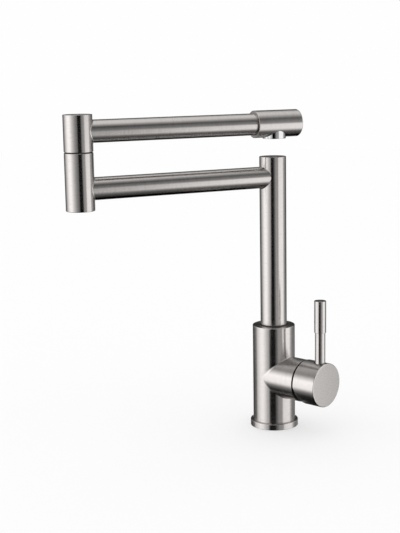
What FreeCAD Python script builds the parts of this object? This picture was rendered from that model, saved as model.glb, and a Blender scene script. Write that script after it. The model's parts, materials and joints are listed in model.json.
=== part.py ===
"""Folding single-handle kitchen faucet, as a parametric assembly of separate pieces.

Frame: +Z up, +X along the side branch that carries the handle, the user stands at -Y.
The origin is the centre of the base on the counter. Lengths are in millimetres and
angles in degrees. The faucet is drawn folded: the lower arm swings out from the riser
to the elbow post, and the upper arm comes back over it, so the spout lies over the riser.
"""
import FreeCAD, Part
import Sketcher
import math
import os
import re

FULL_TURN = 360

# Driving dimensions, grouped by the piece that carries them
SIZES = {
    # Clearances shared by every piece
    "fit_gap": 0.05,
    "running_gap": 0.05,
    "overrun": 1.0,
    # Deck ring and its gasket
    "ring_rim": 3.0,
    "ring_height": 6.2,
    "ring_edge": 0.5,
    "ring_floor": 2.4,
    "ring_step": 2.45,
    "ring_body_gap": 0.2,
    "gasket_inset": 1.35,
    "gasket_width": 3.6,
    "gasket_height": 1.2,
    # Upright body
    "body_radius": 22.5,
    "body_wall": 2.0,
    "body_height": 110.0,
    "body_edge": 0.6,
    "body_roof": 4.0,
    "neck_hole_gap": 0.6,
    # Side branch
    "branch_height": 55.0,
    "branch_wall": 3.3,
    "branch_reach": 42.0,
    "branch_edge": 0.7,
    # Inlet block with its threaded holes
    "inlet_block_height": 20.0,
    "inlet_hole_radius": 4.46,
    "inlet_hole_depth": 12.0,
    "inlet_spread": 8.0,
    "inlet_setback": 3.0,
    "stud_hole_radius": 3.32,
    "stud_hole_depth": 14.0,
    "stud_hole_offset": 12.0,
    "waterway_radius": 3.0,
    # Supply tubes
    "tube_radius": 4.0,
    "tube_wall": 1.0,
    "tube_seat_depth": 5.0,
    # Valve block behind the cartridge
    "valve_margin": 1.0,
    "seat_reach": 8.0,
    "port_circle_radius": 8.2,
    # Cartridge
    "cartridge_radius": 17.5,
    "cartridge_floor": 4.0,
    "housing_wall": 2.45,
    "housing_shoulder": 5.5,
    "housing_neck_length": 8.5,
    "housing_neck_wall": 1.95,
    "port_seal_radius": 3.75,
    "port_seal_thickness": 1.5,
    "fixed_disc_thickness": 4.0,
    "moving_disc_room": 4.05,
    "moving_disc_thickness": 2.95,
    "mixing_pocket_radius": 6.0,
    "mixing_pocket_depth": 1.2,
    "carrier_step": 0.5,
    "carrier_thickness": 3.0,
    "carrier_gap": 0.4,
    "nut_step": 1.5,
    "nut_bore_gap": 0.3,
    "nut_length": 6.5,
    "nut_slot_width": 3.0,
    "nut_slot_depth": 2.5,
    # Turning sleeve and the pin that the stem tilts on
    "rotor_radius": 11.0,
    "rotor_flange_gap": 0.55,
    "rotor_flange_length": 1.5,
    "rotor_front_gap": 0.5,
    "stem_side_gap": 0.2,
    "stem_tilt_room": 4.0,
    "pin_ahead": 9.0,
    "pin_radius": 1.5,
    # Lever stem
    "stem_width": 8.0,
    "stem_shoulder": 5.0,
    "stem_neck_radius": 1.9,
    "stem_ball_radius": 2.5,
    "ball_floor_gap": 0.2,
    "ball_gap": 0.15,
    # Handle cap
    "cap_overhang": 0.75,
    "cap_gap": 1.5,
    "cap_length": 26.5,
    "cap_edge": 0.8,
    "cap_back_edge": 0.3,
    "cap_wall": 3.0,
    "cap_hollow_depth": 7.5,
    "stem_socket_depth": 9.5,
    "stem_end_gap": 0.5,
    "relief_start": 2.0,
    "relief_angle": 18.9,
    # Grub screw that locks the cap on the stem
    "grub_radius": 2.1,
    "grub_length": 8.0,
    "grub_inset": 5.5,
    "grub_key_radius": 1.2,
    "grub_key_depth": 2.5,
    # Lever
    "lever_setback": 8.2,
    "lever_rod_radius": 5.4,
    "lever_rod_length": 31.95,
    "lever_recess_gap": 0.8,
    "lever_recess_depth": 1.5,
    "lever_stud_radius": 3.0,
    "lever_stud_length": 8.0,
    "lever_core_radius": 4.0,
    "lever_grip_radius": 6.2,
    "lever_grip_length": 33.4,
    "lever_grip_roof": 4.0,
    "lever_edge": 0.3,
    # Swivel socket and the spigot that turns in it
    "spigot_step": 1.5,
    "spigot_wall": 4.0,
    "spigot_foot_gap": 3.0,
    "spigot_plug_length": 14.0,
    "chamber_gap": 0.9,
    "chamber_height": 6.5,
    "seal_section_radius": 1.0,
    "upper_seal_share": 0.37,
    "lower_seal_share": 0.63,
    "snap_thickness": 1.1,
    "snap_reach": 1.6,
    "snap_depth": 1.0,
    "snap_gap": 0.4,
    "snap_slot_width": 4.0,
    # Riser
    "glide_thickness": 0.9,
    "glide_inset": 0.6,
    "riser_radius": 14.0,
    "riser_wall": 1.5,
    "riser_above_arm": 21.4,
    "riser_edge": 0.5,
    "lid_thickness": 3.0,
    "lid_plug_depth": 4.0,
    # Lower arm, from the riser to the elbow post
    "lower_arm_height": 267.6,
    "lower_arm_heading": -110.85,
    "elbow_reach": 213.5,
    "arm_radius": 11.2,
    "arm_wall": 1.5,
    # Elbow
    "post_radius": 14.25,
    "post_wall": 1.5,
    "post_edge": 0.6,
    "lower_post_below_arm": 20.7,
    "lower_post_above_arm": 35.4,
    "upper_post_below_arm": 19.2,
    "upper_post_above_arm": 16.6,
    "elbow_glide_thickness": 0.75,
    "elbow_glide_inset": 0.85,
    "spindle_wall": 3.0,
    "spindle_plug_length": 15.0,
    "spindle_top_gap": 2.0,
    "bush_wall": 3.7,
    "bush_height": 9.4,
    "elbow_seal_section_radius": 0.8,
    "elbow_seal_rise": 3.2,
    "elbow_seal_pitch": 3.6,
    "elbow_snap_reach": 1.4,
    "elbow_snap_thickness": 1.0,
    "elbow_snap_depth": 0.8,
    # Upper arm and spout head, from the elbow post back over the riser
    "upper_arm_heading": 67.86,
    "arm_end_gap": 1.8,
    "head_before_outlet": 23.8,
    "head_beyond_outlet": 26.9,
    "head_step": 2.8,
    "head_edge": 0.5,
    "head_round": 1.6,
    "head_bore_radius": 9.0,
    # Aerator under the spout head
    "aerator_reach": 212.8,
    "aerator_radius": 12.0,
    "aerator_foot_drop": 15.2,
    "aerator_seat_drop": 5.0,
    "aerator_wall": 1.5,
    "aerator_lip_width": 1.3,
    "aerator_lip_height": 1.4,
    "aerator_edge": 0.4,
    "aerator_cell_radius": 0.8,
    "aerator_cell_pitch": 2.4,
    "aerator_screen_thickness": 0.6,
    "aerator_screen_gap": 1.6,
    "aerator_washer_thickness": 2.0,
    "aerator_washer_bore_radius": 8.5,
}

# Sizes worked out from the driving ones, as formulas of them
WORKED = {
    "body_bore": "body_radius - body_wall",
    "block_radius": "body_bore - fit_gap",
    "ring_radius": "body_radius + ring_rim",
    "ring_bore_radius": "body_bore - ring_step",
    "gasket_radius": "ring_bore_radius + gasket_inset",
    "valve_half_height": "cartridge_radius + valve_margin",
    "valve_foot": "branch_height - valve_half_height",
    "valve_top": "branch_height + valve_half_height",
    "roof_underside": "body_height - body_roof",
    "port_drop": "port_circle_radius / 2",
    "cartridge_bore": "cartridge_radius + fit_gap",
    "cartridge_start": "seat_reach + cartridge_floor",
    "disc_chamber_radius": "cartridge_radius - housing_wall",
    "moving_disc_radius": "disc_chamber_radius - moving_disc_room",
    "moving_disc_back": "cartridge_start + fixed_disc_thickness + running_gap",
    "carrier_radius": "moving_disc_radius - carrier_step",
    "carrier_back": "moving_disc_back + moving_disc_thickness",
    "carrier_front": "carrier_back + carrier_thickness",
    "rotor_flange_radius": "disc_chamber_radius - rotor_flange_gap",
    "rotor_flange_back": "carrier_front + carrier_gap",
    "rotor_flange_front": "rotor_flange_back + rotor_flange_length",
    "chamber_front": "rotor_flange_front + 2 * running_gap",
    "shoulder_reach": "chamber_front + housing_shoulder",
    "neck_front": "shoulder_reach + housing_neck_length",
    "housing_neck_radius": "rotor_radius + running_gap + housing_neck_wall",
    "nut_radius": "cartridge_radius + nut_step",
    "nut_bore_radius": "housing_neck_radius + nut_bore_gap",
    "branch_radius": "nut_radius + branch_wall",
    "rotor_front": "neck_front + rotor_front_gap",
    "rotor_slot_width": "stem_width + 2 * stem_side_gap",
    "rotor_slot_height": "stem_width + 2 * stem_tilt_room",
    "pin_reach": "carrier_front + pin_ahead",
    "ball_reach": "carrier_back + stem_ball_radius + ball_floor_gap",
    "cap_radius": "branch_radius + cap_overhang",
    "cap_back": "branch_reach + cap_gap",
    "cap_front": "cap_back + cap_length",
    "socket_floor": "cap_back + cap_hollow_depth + stem_socket_depth",
    "stem_end": "socket_floor - stem_end_gap",
    "grub_reach": "cap_back + cap_hollow_depth + grub_inset",
    "cap_top": "branch_height + cap_radius",
    "lever_reach": "cap_front - lever_setback",
    "lever_foot": "cap_top - lever_recess_depth",
    "lever_step_height": "cap_top + lever_rod_length",
    "lever_grip_top": "lever_step_height + lever_grip_length",
    "riser_bore": "riser_radius - riser_wall",
    "spigot_radius": "riser_bore - spigot_step",
    "spigot_bore_radius": "spigot_radius - spigot_wall",
    "spigot_bore_in_socket": "spigot_radius + running_gap",
    "spigot_foot": "valve_top + spigot_foot_gap",
    "snap_radius": "spigot_radius + snap_reach",
    "chamber_radius": "snap_radius + chamber_gap",
    "chamber_roof": "valve_top + chamber_height",
    "snap_top": "chamber_roof - snap_gap",
    "upper_seal_height": "body_height - upper_seal_share * (body_height - chamber_roof)",
    "lower_seal_height": "body_height - lower_seal_share * (body_height - chamber_roof)",
    "glide_radius": "riser_radius - glide_inset",
    "riser_foot": "body_height + glide_thickness + running_gap",
    "riser_height": "lower_arm_height + riser_above_arm",
    "riser_lid_foot": "riser_height - lid_thickness",
    "arm_bore": "arm_radius - arm_wall",
    "post_bore": "post_radius - post_wall",
    "lower_post_foot": "lower_arm_height - lower_post_below_arm",
    "lower_post_floor": "lower_post_foot + lid_thickness",
    "elbow_seam_height": "lower_arm_height + lower_post_above_arm",
    "elbow_glide_radius": "post_radius - elbow_glide_inset",
    "upper_post_foot": "elbow_seam_height + elbow_glide_thickness + running_gap",
    "upper_arm_height": "upper_post_foot + upper_post_below_arm",
    "upper_post_top": "upper_arm_height + upper_post_above_arm",
    "upper_post_lid_foot": "upper_post_top - lid_thickness",
    "spindle_radius": "post_bore - fit_gap - bush_wall",
    "spindle_bore_radius": "spindle_radius - spindle_wall",
    "bush_top": "upper_post_foot + bush_height",
    "lower_elbow_seal_height": "upper_post_foot + elbow_seal_rise",
    "upper_elbow_seal_height": "lower_elbow_seal_height + elbow_seal_pitch",
    "elbow_snap_radius": "spindle_radius + elbow_snap_reach",
    "elbow_snap_foot": "bush_top + snap_gap",
    "elbow_snap_top": "elbow_snap_foot + elbow_snap_thickness",
    "spindle_top": "elbow_snap_top + spindle_top_gap",
    "head_start": "aerator_reach - head_before_outlet",
    "head_end": "aerator_reach + head_beyond_outlet",
    "head_radius": "arm_radius + head_step",
    "head_bore_end": "aerator_reach + head_bore_radius",
    "arm_end": "aerator_reach - aerator_radius - arm_end_gap",
    "aerator_foot": "upper_arm_height - aerator_foot_drop",
    "aerator_seat": "upper_arm_height - aerator_seat_drop",
    "aerator_bore": "aerator_radius - aerator_wall",
    "aerator_top": "aerator_seat - aerator_washer_thickness",
    "core_foot": "aerator_foot + aerator_lip_height",
    "core_top": "aerator_top - aerator_screen_gap - aerator_screen_thickness",
    "elbow_x": "elbow_reach * cos(lower_arm_heading)",
    "elbow_y": "elbow_reach * sin(lower_arm_heading)",
}

document = FreeCAD.newDocument("folding_faucet")
sheet = document.addObject("Spreadsheet::Sheet", "sizes")
for row, (alias, value) in enumerate(SIZES.items(), start=1):
    sheet.set("A%d" % row, alias)
    sheet.set("B%d" % row, str(value))
    sheet.setAlias("B%d" % row, alias)
document.recompute()


def formula(text):
    """Write a formula of named sizes as an expression on the sheet's cells."""
    def cell(match):
        word = match.group()
        if word in WORKED:
            return "(" + formula(WORKED[word]) + ")"
        if word in SIZES:
            return "sizes." + word
        return word
    return re.sub(r"[a-z][a-z_]*", cell, text)


# Helpers that draw sketches and make features

def make_body(name, x="0", y="0", height="0", heading="0"):
    """Start a piece whose own frame stands at a place and turns about the upright."""
    body = document.addObject("PartDesign::Body", name)
    body.Label = name
    for axis, place in (("x", x), ("y", y), ("z", height)):
        if place != "0":
            body.setExpression("Placement.Base." + axis, formula(place))
    if heading != "0":
        body.setExpression("Placement.Rotation.Angle", formula(heading))
    return body


def new_sketch(body, name, plane, shift):
    """Lay a sketch on one of the piece's own origin planes, shifted by formulas."""
    sketch = body.newObject("Sketcher::SketchObject", name)
    role = [item for item in body.Origin.OriginFeatures if item.Role == plane][0]
    sketch.AttachmentSupport = [(role, "")]
    sketch.MapMode = "FlatFace"
    for axis, distance in shift.items():
        sketch.setExpression("AttachmentOffset.Base." + axis, formula(distance))
    return sketch


def pin_point(sketch, geometry, end, place):
    """Hold a sketch point at a pair of formulas, measured from the sketch's origin."""
    for kind, axis, distance in (("DistanceX", -2, place[0]), ("DistanceY", -1, place[1])):
        if distance == "0":
            sketch.addConstraint(Sketcher.Constraint("PointOnObject", geometry, end, axis))
        else:
            index = sketch.addConstraint(Sketcher.Constraint(kind, -1, 1, geometry, end, 1.0))
            sketch.setExpression("Constraints[%d]" % index, formula(distance))


def draw_outline(body, name, corners, plane="XZ_Plane", **shift):
    """Draw a closed straight-sided outline through corners given as pairs of formulas."""
    sketch = new_sketch(body, name, plane, shift)
    count = len(corners)
    turns = [2 * math.pi * step / count for step in range(count)]
    rough = [FreeCAD.Vector(math.cos(turn), math.sin(turn), 0) for turn in turns]
    for step in range(count):
        sketch.addGeometry(Part.LineSegment(rough[step], rough[(step + 1) % count]), False)
    for step in range(count):
        sketch.addConstraint(Sketcher.Constraint("Coincident", step, 2, (step + 1) % count, 1))
    for step, corner in enumerate(corners):
        pin_point(sketch, step, 1, corner)
    return sketch


def draw_circles(body, name, circles, plane, **shift):
    """Draw circles given as centre and radius formulas."""
    sketch = new_sketch(body, name, plane, shift)
    for across, along, radius in circles:
        rough = Part.Circle(FreeCAD.Vector(0, 0, 0), FreeCAD.Vector(0, 0, 1), 1.0)
        geometry = sketch.addGeometry(rough, False)
        index = sketch.addConstraint(Sketcher.Constraint("Radius", geometry, 1.0))
        sketch.setExpression("Constraints[%d]" % index, formula(radius))
        pin_point(sketch, geometry, 3, (across, along))
    return sketch


def settle(body, feature, before, cuts):
    """Recompute and make sure that a cut took material away, or an addition added some."""
    body.Tip = feature
    document.recompute()
    after = body.Shape.Volume
    changed = after < before if cuts else after > before
    if not changed:
        raise ValueError("%s changes nothing on %s" % (feature.Name, body.Label))
    return feature


def volume_of(body):
    """Give the piece's volume so far, or zero before its first feature."""
    return body.Shape.Volume if not body.Shape.isNull() else 0


def turn(body, sketch, axis, cuts=False):
    """Turn an outline once round the sketch's own axis, to add or to cut."""
    before = volume_of(body)
    kind = "PartDesign::Groove" if cuts else "PartDesign::Revolution"
    feature = body.newObject(kind, sketch.Name + ("_groove" if cuts else "_turned"))
    feature.Profile = sketch
    feature.ReferenceAxis = (sketch, [axis])
    feature.Angle = FULL_TURN
    return settle(body, feature, before, cuts)


def extrude(body, sketch, length, cuts=False, reverse=False, both_ways=False):
    """Push a sketch out along its normal, to add a pad or to cut a pocket."""
    before = volume_of(body)
    kind = "PartDesign::Pocket" if cuts else "PartDesign::Pad"
    feature = body.newObject(kind, sketch.Name + ("_pocket" if cuts else "_pad"))
    feature.Profile = sketch
    feature.setExpression("Length", formula(length))
    feature.Reversed = reverse
    if both_ways:
        feature.SideType = "Symmetric"
    return settle(body, feature, before, cuts)


def repeat_round(body, feature, axis, count):
    """Repeat a feature evenly round an axis."""
    before = volume_of(body)
    pattern = body.newObject("PartDesign::PolarPattern", feature.Name + "_pattern")
    pattern.Originals = [feature]
    pattern.Axis = axis
    pattern.Angle = FULL_TURN
    pattern.Occurrences = count
    cuts = feature.TypeId in ("PartDesign::Pocket", "PartDesign::Groove")
    return settle(body, pattern, before, cuts)


def turned_piece(name, axis, corners, **place):
    """Make a piece by turning one outline round its own upright or lying axis."""
    body = make_body(name, **place)
    turn(body, draw_outline(body, name + "_outline", corners), axis)
    return body


def tube_outline(inner, outer, foot, top, foot_edge="0", top_edge="0"):
    """Give the upright outline of a tube with its outer edges bevelled."""
    corners = [(inner, foot)]
    if foot_edge == "0":
        corners += [(outer, foot)]
    else:
        corners += [("%s - %s" % (outer, foot_edge), foot), (outer, "%s + %s" % (foot, foot_edge))]
    if top_edge == "0":
        corners += [(outer, top)]
    else:
        corners += [(outer, "%s - %s" % (top, top_edge)), ("%s - %s" % (outer, top_edge), top)]
    corners += [(inner, top)]
    return corners


def lying(corners):
    """Lay an upright outline on its side."""
    return [(height, radius) for radius, height in corners]


UPRIGHT = "V_Axis"
LYING = "H_Axis"
AT_BRANCH = {"height": "branch_height"}
ON_LOWER_ARM = {"heading": "lower_arm_heading"}
AT_LOWER_ELBOW = {"x": "elbow_x", "y": "elbow_y", "heading": "lower_arm_heading"}
AT_UPPER_ELBOW = {"x": "elbow_x", "y": "elbow_y", "heading": "upper_arm_heading"}


# Standing part of the faucet

def make_base_ring():
    """Turn the deck ring, with a step that the body stands in and a groove for the gasket."""
    body = turned_piece("base_ring", UPRIGHT, [
        ("ring_bore_radius", "0"),
        ("ring_radius", "0"),
        ("ring_radius", "ring_height - ring_edge"),
        ("ring_radius - ring_edge", "ring_height"),
        ("body_radius + ring_body_gap", "ring_height"),
        ("body_radius + ring_body_gap", "ring_floor"),
        ("ring_bore_radius", "ring_floor"),
    ])
    groove = draw_outline(body, "gasket_groove", tube_outline(
        "gasket_radius", "gasket_radius + gasket_width", "0", "gasket_height"))
    turn(body, groove, UPRIGHT, cuts=True)
    return body


def make_base_gasket():
    """Turn the flat gasket that fills the ring's groove, flush with its underside."""
    return turned_piece("base_gasket", UPRIGHT, tube_outline(
        "gasket_radius + fit_gap", "gasket_radius + gasket_width - fit_gap", "0", "gasket_height"))


def make_faucet_body():
    """Make the upright body with the side branch welded to it and bored for the cartridge."""
    body = turned_piece("faucet_body", UPRIGHT, tube_outline(
        "0", "body_radius", "ring_floor", "body_height", top_edge="body_edge"))
    branch = draw_outline(body, "branch_outline", lying(tube_outline(
        "0", "branch_radius", "0", "branch_reach", top_edge="branch_edge")), y="branch_height")
    turn(body, branch, LYING)
    inside = draw_outline(body, "body_inside", tube_outline(
        "0", "body_bore", "ring_floor", "roof_underside"))
    turn(body, inside, UPRIGHT, cuts=True)
    neck_hole = draw_outline(body, "neck_hole", tube_outline(
        "0", "spigot_radius + neck_hole_gap", "roof_underside", "body_height"))
    turn(body, neck_hole, UPRIGHT, cuts=True)
    stepped_bore = draw_outline(body, "cartridge_bore_outline", [
        ("0", "0"),
        ("branch_reach", "0"),
        ("branch_reach", "nut_radius + fit_gap"),
        ("shoulder_reach", "nut_radius + fit_gap"),
        ("shoulder_reach", "cartridge_bore"),
        ("0", "cartridge_bore"),
    ], y="branch_height")
    turn(body, stepped_bore, LYING, cuts=True)
    return body


def make_inlet_block():
    """Turn the block that closes the body's foot and drill its threaded holes and waterways."""
    body = turned_piece("inlet_block", UPRIGHT, [
        ("0", "0"),
        ("ring_bore_radius - fit_gap", "0"),
        ("ring_bore_radius - fit_gap", "ring_floor"),
        ("block_radius", "ring_floor"),
        ("block_radius", "inlet_block_height"),
        ("0", "inlet_block_height"),
    ])
    sides = [("-inlet_setback", "inlet_spread"), ("-inlet_setback", "-inlet_spread")]
    inlets = draw_circles(body, "inlet_holes", [(x, y, "inlet_hole_radius") for x, y in sides], "XY_Plane")
    extrude(body, inlets, "inlet_hole_depth", cuts=True, reverse=True)
    stud = draw_circles(body, "stud_hole", [("stud_hole_offset", "0", "stud_hole_radius")], "XY_Plane")
    extrude(body, stud, "stud_hole_depth", cuts=True, reverse=True)
    ways = draw_circles(body, "inlet_ways", [(x, y, "waterway_radius") for x, y in sides], "XY_Plane")
    extrude(body, ways, "inlet_block_height", cuts=True, reverse=True)
    seats = draw_circles(body, "tube_seats", [(x, y, "tube_radius + fit_gap") for x, y in sides],
                         "XY_Plane", z="inlet_block_height")
    extrude(body, seats, "tube_seat_depth", cuts=True)
    return body


def make_supply_tube(name, side):
    """Turn one straight supply tube from the inlet block up to the valve block."""
    return turned_piece(name, UPRIGHT, tube_outline(
        "tube_radius - tube_wall", "tube_radius",
        "inlet_block_height - tube_seat_depth", "valve_foot + tube_seat_depth"),
        x="-inlet_setback", y=side)


def make_valve_block():
    """Pad the block behind the cartridge, with its seat face, three ports and waterways."""
    body = turned_piece("valve_block", UPRIGHT, tube_outline(
        "0", "block_radius", "valve_foot", "valve_top"))
    seat = draw_outline(body, "cartridge_seat", lying(tube_outline(
        "0", "cartridge_bore", "seat_reach", "body_radius")), y="branch_height")
    turn(body, seat, LYING, cuts=True)
    port = draw_circles(body, "seat_port", [("0", "port_circle_radius", "waterway_radius")],
                        "YZ_Plane", y="branch_height", z="seat_reach")
    drilled = extrude(body, port, "seat_reach + inlet_setback", cuts=True)
    repeat_round(body, drilled, (port, ["N_Axis"]), 3)
    sides = [("-inlet_setback", "inlet_spread"), ("-inlet_setback", "-inlet_spread")]
    ways = draw_circles(body, "supply_ways", [(x, y, "waterway_radius") for x, y in sides],
                        "XY_Plane", z="valve_foot")
    extrude(body, ways, "valve_half_height - port_drop", cuts=True, reverse=True)
    seats = draw_circles(body, "upper_tube_seats", [(x, y, "tube_radius + fit_gap") for x, y in sides],
                         "XY_Plane", z="valve_foot")
    extrude(body, seats, "tube_seat_depth", cuts=True, reverse=True)
    outlet = draw_circles(body, "mixed_way", [("-inlet_setback", "0", "waterway_radius")],
                          "XY_Plane", z="valve_top")
    extrude(body, outlet, "valve_half_height - port_circle_radius", cuts=True)
    return body


def make_swivel_socket():
    """Turn the sleeve under the body's roof that the spigot turns in."""
    return turned_piece("swivel_socket", UPRIGHT, [
        ("spigot_bore_in_socket", "roof_underside"),
        ("block_radius", "roof_underside"),
        ("block_radius", "valve_top"),
        ("chamber_radius", "valve_top"),
        ("chamber_radius", "chamber_roof"),
        ("spigot_bore_in_socket", "chamber_roof"),
    ])


def make_riser_glide():
    """Turn the glide ring that the riser stands on."""
    return turned_piece("riser_glide_ring", UPRIGHT, tube_outline(
        "spigot_radius + running_gap", "glide_radius", "body_height", "body_height + glide_thickness"))


# Cartridge

def drill_ports(body, radius, start, depth):
    """Drill the three water ports, evenly spaced round the cartridge's axis."""
    port = draw_circles(body, body.Name + "_port", [("0", "port_circle_radius", radius)],
                        "YZ_Plane", z=start)
    drilled = extrude(body, port, depth, cuts=True, reverse=True)
    return repeat_round(body, drilled, (port, ["N_Axis"]), 3)


def make_cartridge_floor():
    """Turn the plate that seals the cartridge on its seat."""
    body = turned_piece("cartridge_base", LYING, lying(tube_outline(
        "0", "cartridge_radius", "seat_reach", "cartridge_start")), **AT_BRANCH)
    drill_ports(body, "waterway_radius", "seat_reach", "cartridge_floor")
    pocket = draw_circles(body, "seal_pocket", [
        ("0", "port_circle_radius", "port_seal_radius + port_seal_thickness / 2 + fit_gap")],
        "YZ_Plane", z="seat_reach")
    drilled = extrude(body, pocket, "port_seal_thickness", cuts=True, reverse=True)
    repeat_round(body, drilled, (pocket, ["N_Axis"]), 3)
    return body


def make_port_seals():
    """Pad the three ring seals between the ports and the seat."""
    body = make_body("port_seals", **AT_BRANCH)
    rims = draw_circles(body, "port_seal_rims", [
        ("0", "port_circle_radius", "port_seal_radius + port_seal_thickness / 2"),
        ("0", "port_circle_radius", "port_seal_radius - port_seal_thickness / 2")],
        "YZ_Plane", z="seat_reach")
    seal = extrude(body, rims, "port_seal_thickness")
    repeat_round(body, seal, (rims, ["N_Axis"]), 3)
    return body


def make_fixed_disc():
    """Turn the fixed ceramic disc and drill its ports."""
    body = turned_piece("fixed_ceramic_disc", LYING, lying(tube_outline(
        "0", "disc_chamber_radius - fit_gap", "cartridge_start",
        "cartridge_start + fixed_disc_thickness")), **AT_BRANCH)
    drill_ports(body, "waterway_radius", "cartridge_start", "fixed_disc_thickness")
    return body


def make_cartridge_housing():
    """Turn the cartridge's outer shell, wide round the discs and narrow round the sleeve."""
    return turned_piece("cartridge_housing", LYING, [
        ("cartridge_start", "disc_chamber_radius"),
        ("cartridge_start", "cartridge_radius"),
        ("shoulder_reach", "cartridge_radius"),
        ("shoulder_reach", "housing_neck_radius"),
        ("neck_front", "housing_neck_radius"),
        ("neck_front", "rotor_radius + running_gap"),
        ("chamber_front", "rotor_radius + running_gap"),
        ("chamber_front", "disc_chamber_radius"),
    ], **AT_BRANCH)


def make_cartridge_nut():
    """Turn the threaded ring that holds the cartridge, and cut its spanner slots."""
    body = turned_piece("cartridge_nut", LYING, lying(tube_outline(
        "nut_bore_radius", "nut_radius", "shoulder_reach", "shoulder_reach + nut_length")), **AT_BRANCH)
    slot = draw_outline(body, "spanner_slot", [
        ("-nut_slot_width / 2", "nut_bore_radius - overrun"),
        ("nut_slot_width / 2", "nut_bore_radius - overrun"),
        ("nut_slot_width / 2", "nut_radius + overrun"),
        ("-nut_slot_width / 2", "nut_radius + overrun"),
    ], plane="YZ_Plane", z="shoulder_reach + nut_length")
    cut = extrude(body, slot, "nut_slot_depth", cuts=True)
    repeat_round(body, cut, (slot, ["N_Axis"]), 6)
    return body


def make_moving_disc():
    """Turn the sliding ceramic disc, with the pocket that joins the ports."""
    body = turned_piece("moving_ceramic_disc", LYING, lying(tube_outline(
        "0", "moving_disc_radius", "moving_disc_back", "carrier_back")), **AT_BRANCH)
    pocket = draw_circles(body, "mixing_pocket", [("0", "0", "mixing_pocket_radius")],
                          "YZ_Plane", z="moving_disc_back")
    extrude(body, pocket, "mixing_pocket_depth", cuts=True, reverse=True)
    return body


def make_disc_carrier():
    """Turn the plate that carries the sliding disc and takes the stem's ball."""
    return turned_piece("disc_carrier", LYING, lying(tube_outline(
        "stem_ball_radius + ball_gap", "carrier_radius", "carrier_back", "carrier_front")), **AT_BRANCH)


def make_rotor():
    """Turn the sleeve that turns with the handle, with the slot that the stem tilts in."""
    body = turned_piece("cartridge_rotor", LYING, [
        ("rotor_flange_back", "0"),
        ("rotor_flange_back", "rotor_flange_radius"),
        ("rotor_flange_front", "rotor_flange_radius"),
        ("rotor_flange_front", "rotor_radius"),
        ("rotor_front", "rotor_radius"),
        ("rotor_front", "0"),
    ], **AT_BRANCH)
    slot = draw_outline(body, "stem_slot", [
        ("-rotor_slot_width / 2", "-rotor_slot_height / 2"),
        ("rotor_slot_width / 2", "-rotor_slot_height / 2"),
        ("rotor_slot_width / 2", "rotor_slot_height / 2"),
        ("-rotor_slot_width / 2", "rotor_slot_height / 2"),
    ], plane="YZ_Plane")
    extrude(body, slot, "rotor_front", cuts=True, reverse=True)
    pin_hole = draw_circles(body, "rotor_pin_hole", [("pin_reach", "0", "pin_radius")], "XZ_Plane")
    extrude(body, pin_hole, "2 * rotor_radius", cuts=True, both_ways=True)
    return body


def make_stem_pin():
    """Pad the cross pin that the stem tilts on."""
    body = make_body("stem_pin", **AT_BRANCH)
    section = draw_circles(body, "stem_pin_section", [("pin_reach", "0", "pin_radius")], "XZ_Plane")
    extrude(body, section, "2 * rotor_radius - overrun", both_ways=True)
    return body


# Handle

def make_lever_stem():
    """Pad the square stem, with a turned neck and ball that push the disc carrier."""
    body = make_body("lever_stem", **AT_BRANCH)
    square = draw_outline(body, "stem_section", [
        ("-stem_width / 2", "-stem_width / 2"),
        ("stem_width / 2", "-stem_width / 2"),
        ("stem_width / 2", "stem_width / 2"),
        ("-stem_width / 2", "stem_width / 2"),
    ], plane="YZ_Plane", z="pin_reach - stem_shoulder")
    extrude(body, square, "stem_end - pin_reach + stem_shoulder")
    neck = draw_outline(body, "stem_neck", lying(tube_outline(
        "0", "stem_neck_radius", "ball_reach", "pin_reach - stem_shoulder")))
    turn(body, neck, LYING)
    before = volume_of(body)
    ball = body.newObject("PartDesign::AdditiveSphere", "stem_ball")
    ball.setExpression("Radius", formula("stem_ball_radius"))
    ball.setExpression("Placement.Base.x", formula("ball_reach"))
    settle(body, ball, before, cuts=False)
    pin_hole = draw_circles(body, "stem_pin_hole", [("pin_reach", "0", "pin_radius + running_gap")],
                            "XZ_Plane")
    extrude(body, pin_hole, "2 * stem_width", cuts=True, both_ways=True)
    return body


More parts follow.
